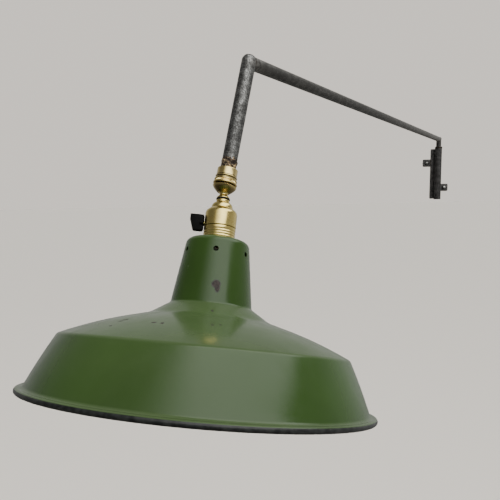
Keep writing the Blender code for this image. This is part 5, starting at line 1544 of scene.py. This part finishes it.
def enamelled_shade():
    line = SHADE_LINE
    foot_r, foot_z = line[-1]
    rim_z = foot_z - LIP_DEPTH
    bead = (RIM_RADIUS - RIM_BEAD_RADIUS, rim_z)
    lip = softened(
        [line[-2], (foot_r, foot_z, 2.5 * MM), (foot_r + 2.2 * MM, foot_z - 1.6 * MM, 1.2 * MM),
         (bead[0] - 0.6 * MM, bead[1] + RIM_BEAD_RADIUS)],
        closed=False, steps=5,
    )
    green = line[:-1] + lip[1:]
    bead_green = arc(bead, RIM_BEAD_RADIUS, 95, 38, 5)
    bead_black = arc(bead, RIM_BEAD_RADIUS, 26, -175, 18)
    inner = offset_line(line + [(foot_r + 1.0 * MM, foot_z - 2.6 * MM)], SHADE_WALL)[1:-1]
    outline = green + bead_green + bead_black + inner[::-1] + [(SHADE_HOLE_RADIUS, SHADE_TOP - SHADE_WALL)]
    outline.append(outline[0])
    rim_row = len(green) + len(bead_green) - 1
    inside_row = rim_row + len(bead_black)
    start = bmesh.new()
    for r, z in outline:
        start.verts.new((r, 0, z))
    mesh = grown(
        SHADE,
        {"Sides": SHADE_SIDES, "Outline Points": len(outline), "Vent Count": VENT_COUNT,
         "Vent Radius": VENT_RADIUS, "Vent Z": SHADE_TOP - VENT_DROP, "Neck Radius": NECK_TOP + 1.5 * MM,
         "First Vent": math.radians(30), "Rim Row": float(rim_row), "Inside Row": float(inside_row),
         "Outside": GREEN_ENAMEL, "Rim": RIM_ENAMEL, "Inside": WHITE_ENAMEL},
        start,
    )
    checker = bmesh.new()
    checker.from_mesh(mesh)
    bmesh.ops.recalc_face_normals(checker, faces=checker.faces)
    checker.to_mesh(mesh)
    checker.free()
    piece("enamelled_shade", mesh, LAMP, "lamp_head", None, ["shade_shell"], sharp=38)


def bulb():
    foot = BULB_CAP_TOP - 24 * MM
    cap = turned(
        softened([
            (0, BULB_CAP_TOP), (0.6 * BULB_CAP_RADIUS, BULB_CAP_TOP, 0.6 * MM),
            (BULB_CAP_RADIUS - 0.6 * MM, BULB_CAP_TOP - 4 * MM, 0.8 * MM), (BULB_CAP_RADIUS - 0.6 * MM, foot),
            (BULB_CAP_RADIUS - 1.2 * MM, foot), (BULB_CAP_RADIUS - 1.2 * MM, BULB_CAP_TOP - 5 * MM),
            (0, BULB_CAP_TOP - 2 * MM),
        ], closed=False)
    )
    piece("bulb_cap", cap, LAMP, "lamp_head", LAMP_ZINC, ["bulb_screw_cap"])
    thread = grown(THREAD, {
        "Thread Radius": BULB_CAP_RADIUS - 0.75 * MM, "Pitch": 3.6 * MM, "Turns": 4.5, "Crest": 0.7 * MM,
        "Thread Foot": foot + 3 * MM, "Material": LAMP_ZINC,
    })
    piece("bulb_cap_thread", thread, LAMP, "lamp_head", LAMP_ZINC, sharp=80)
    middle = BULB_GLASS_TOP - BULB_LENGTH + BULB_RADIUS
    neck = BULB_CAP_RADIUS - 0.5 * MM
    wall = 0.9 * MM
    join = arc((0, middle), BULB_RADIUS, 38, -90, 40)
    swan = []
    for step in range(9):
        share = step / 8
        swan.append((
            neck + (join[0][0] - neck) * share ** 2.2, BULB_GLASS_TOP + (join[0][1] - BULB_GLASS_TOP) * share
        ))
    outside = swan[:-1] + join[:-1] + [(0, middle - BULB_RADIUS)]
    inside = [(max(0.0, r - wall) if r > wall else 0.0, z + (wall if r < wall else 0)) for r, z in outside]
    inside[-1] = (0, middle - BULB_RADIUS + wall)
    glass = turned(inside[::-1] + outside)
    piece("opal_bulb", glass, LAMP, "lamp_head", OPAL_GLASS, ["bulb_globe"], sharp=60)


# ---------------------------------------------------------------- what stays from the frame


def dress_frame():
    """Gives the plain inner parts the same finishes as the pieces round them."""
    finishes = {
        "black_steel": PIN_STEEL, "bracket_steel": BRACKET_IRON, "zinc": LAMP_ZINC, "bronze": WALL_BRONZE,
        "braze": BRAZING, "brass": HOLDER_BRASS, "fibre": FIBRE, "rubber": RUBBER, "bakelite": BLACK_RESIN,
        "porcelain": PORCELAIN, "green_enamel": GREEN_ENAMEL, "opal_glass": OPAL_GLASS,
    }
    for row in frame["record"]["subparts"]:
        node = frame["nodes"][row["node"]]
        node.data.materials.clear()
        node.data.materials.append(finishes[row["material_slot"]])


# ---------------------------------------------------------------- studio


def soft_light(name, place, aim, size, watts):
    lamp = bpy.data.lights.new(name, "AREA")
    lamp.shape = "RECTANGLE"
    lamp.size, lamp.size_y = size
    lamp.energy = watts
    made = bpy.data.objects.new(name, lamp)
    bpy.context.scene.collection.objects.link(made)
    made.location = place
    made.rotation_euler = (Vector(aim) - Vector(place)).to_track_quat("-Z", "Y").to_euler()
    made.visible_glossy = False
    return made


def studio():
    floor_mesh = bmesh.new()
    bmesh.ops.create_grid(floor_mesh, x_segments=1, y_segments=1, size=40)
    bmesh.ops.translate(floor_mesh, vec=(0, 0, FLOOR_Z), verts=floor_mesh.verts)
    floor = loose(floor_mesh, "floor")
    paper = bpy.data.materials.new("floor_paper")
    paper.use_nodes = True
    shader = paper.node_tree.nodes["Principled BSDF"]
    shader.inputs["Base Color"].default_value = (0.84, 0.79, 0.73, 1)
    shader.inputs["Roughness"].default_value = 1.0
    shader.inputs["Specular IOR Level"].default_value = 0.1
    floor.data.materials.append(paper)
    floor.visible_glossy = False

    world = bpy.data.worlds.new("soft room")
    bpy.context.scene.world = world
    world.use_nodes = True
    tree = world.node_tree
    around = tree.nodes["Background"]
    heading = put(tree, "ShaderNodeSeparateXYZ", {0: put(tree, "ShaderNodeTexCoord").outputs["Generated"]})
    east, back, up = heading.outputs
    round_about = maths(tree, "ARCTAN2", east, maths(tree, "MULTIPLY", back, -1.0))
    sky = stepped(tree, round_about, math.radians(-52), math.radians(22))
    sky = maths(tree, "MULTIPLY", sky, stepped(tree, round_about, math.radians(150), math.radians(105)))
    low_edge = stepped(tree, round_about, math.radians(40), math.radians(62), 0, 0.15)
    sky = maths(tree, "MULTIPLY", sky, stepped(tree, maths(tree, "SUBTRACT", up, low_edge), 0.30, 0.44))
    wall_side = stepped(tree, back, 0.10, 1.0, 0.13, 0.46)
    wall_side = maths(tree, "MULTIPLY", wall_side, stepped(tree, up, -0.7, 0.0, 0.35, 1.0))
    right_side = maths(tree, "MULTIPLY", stepped(tree, east, 0.2, 0.9, 0, 0.22), stepped(tree, up, 0.5, 0.1))
    glow = maths(tree, "MULTIPLY_ADD", sky, SKY_GLOW, maths(tree, "ADD", wall_side, right_side))
    seen = put(tree, "ShaderNodeLightPath").outputs["Is Camera Ray"]
    grey = put(tree, "ShaderNodeCombineColor", {0: glow, 1: glow, 2: maths(tree, "MULTIPLY", glow, 0.97)})
    tree.links.new(blended(tree, seen, grey.outputs[0], (*BACKDROP, 1)), around.inputs["Color"])

    soft_light("window_front", (0.6, -4.2, 2.0), LIGHT_TARGET, (2.4, 2.4), 26)
    soft_light("ceiling", (-0.5, -1.7, 2.5), LIGHT_TARGET, (1.8, 1.6), 34)


def camera():
    eye = bpy.data.cameras.new("camera")
    eye.lens = CAMERA_LENS
    eye.sensor_width = SENSOR_WIDTH
    made = bpy.data.objects.new("camera", eye)
    bpy.context.scene.collection.objects.link(made)
    made.location = (CAMERA_X, CAMERA_Y, ball_place.z - CAMERA_DROP)
    made.rotation_euler = Euler(tuple(math.radians(turn) for turn in CAMERA_TURNS))
    bpy.context.scene.camera = made


camera()
studio()
dress_frame()
backing_bar()
wall_screws(fixing_lugs())
pivot_socket()
pivot_parts()
long_arm()
drop_tube()
joint_cup()
ball_and_stem()
lampholder()
key()
enamelled_shade()
bulb()

bpy.context.view_layer.update()
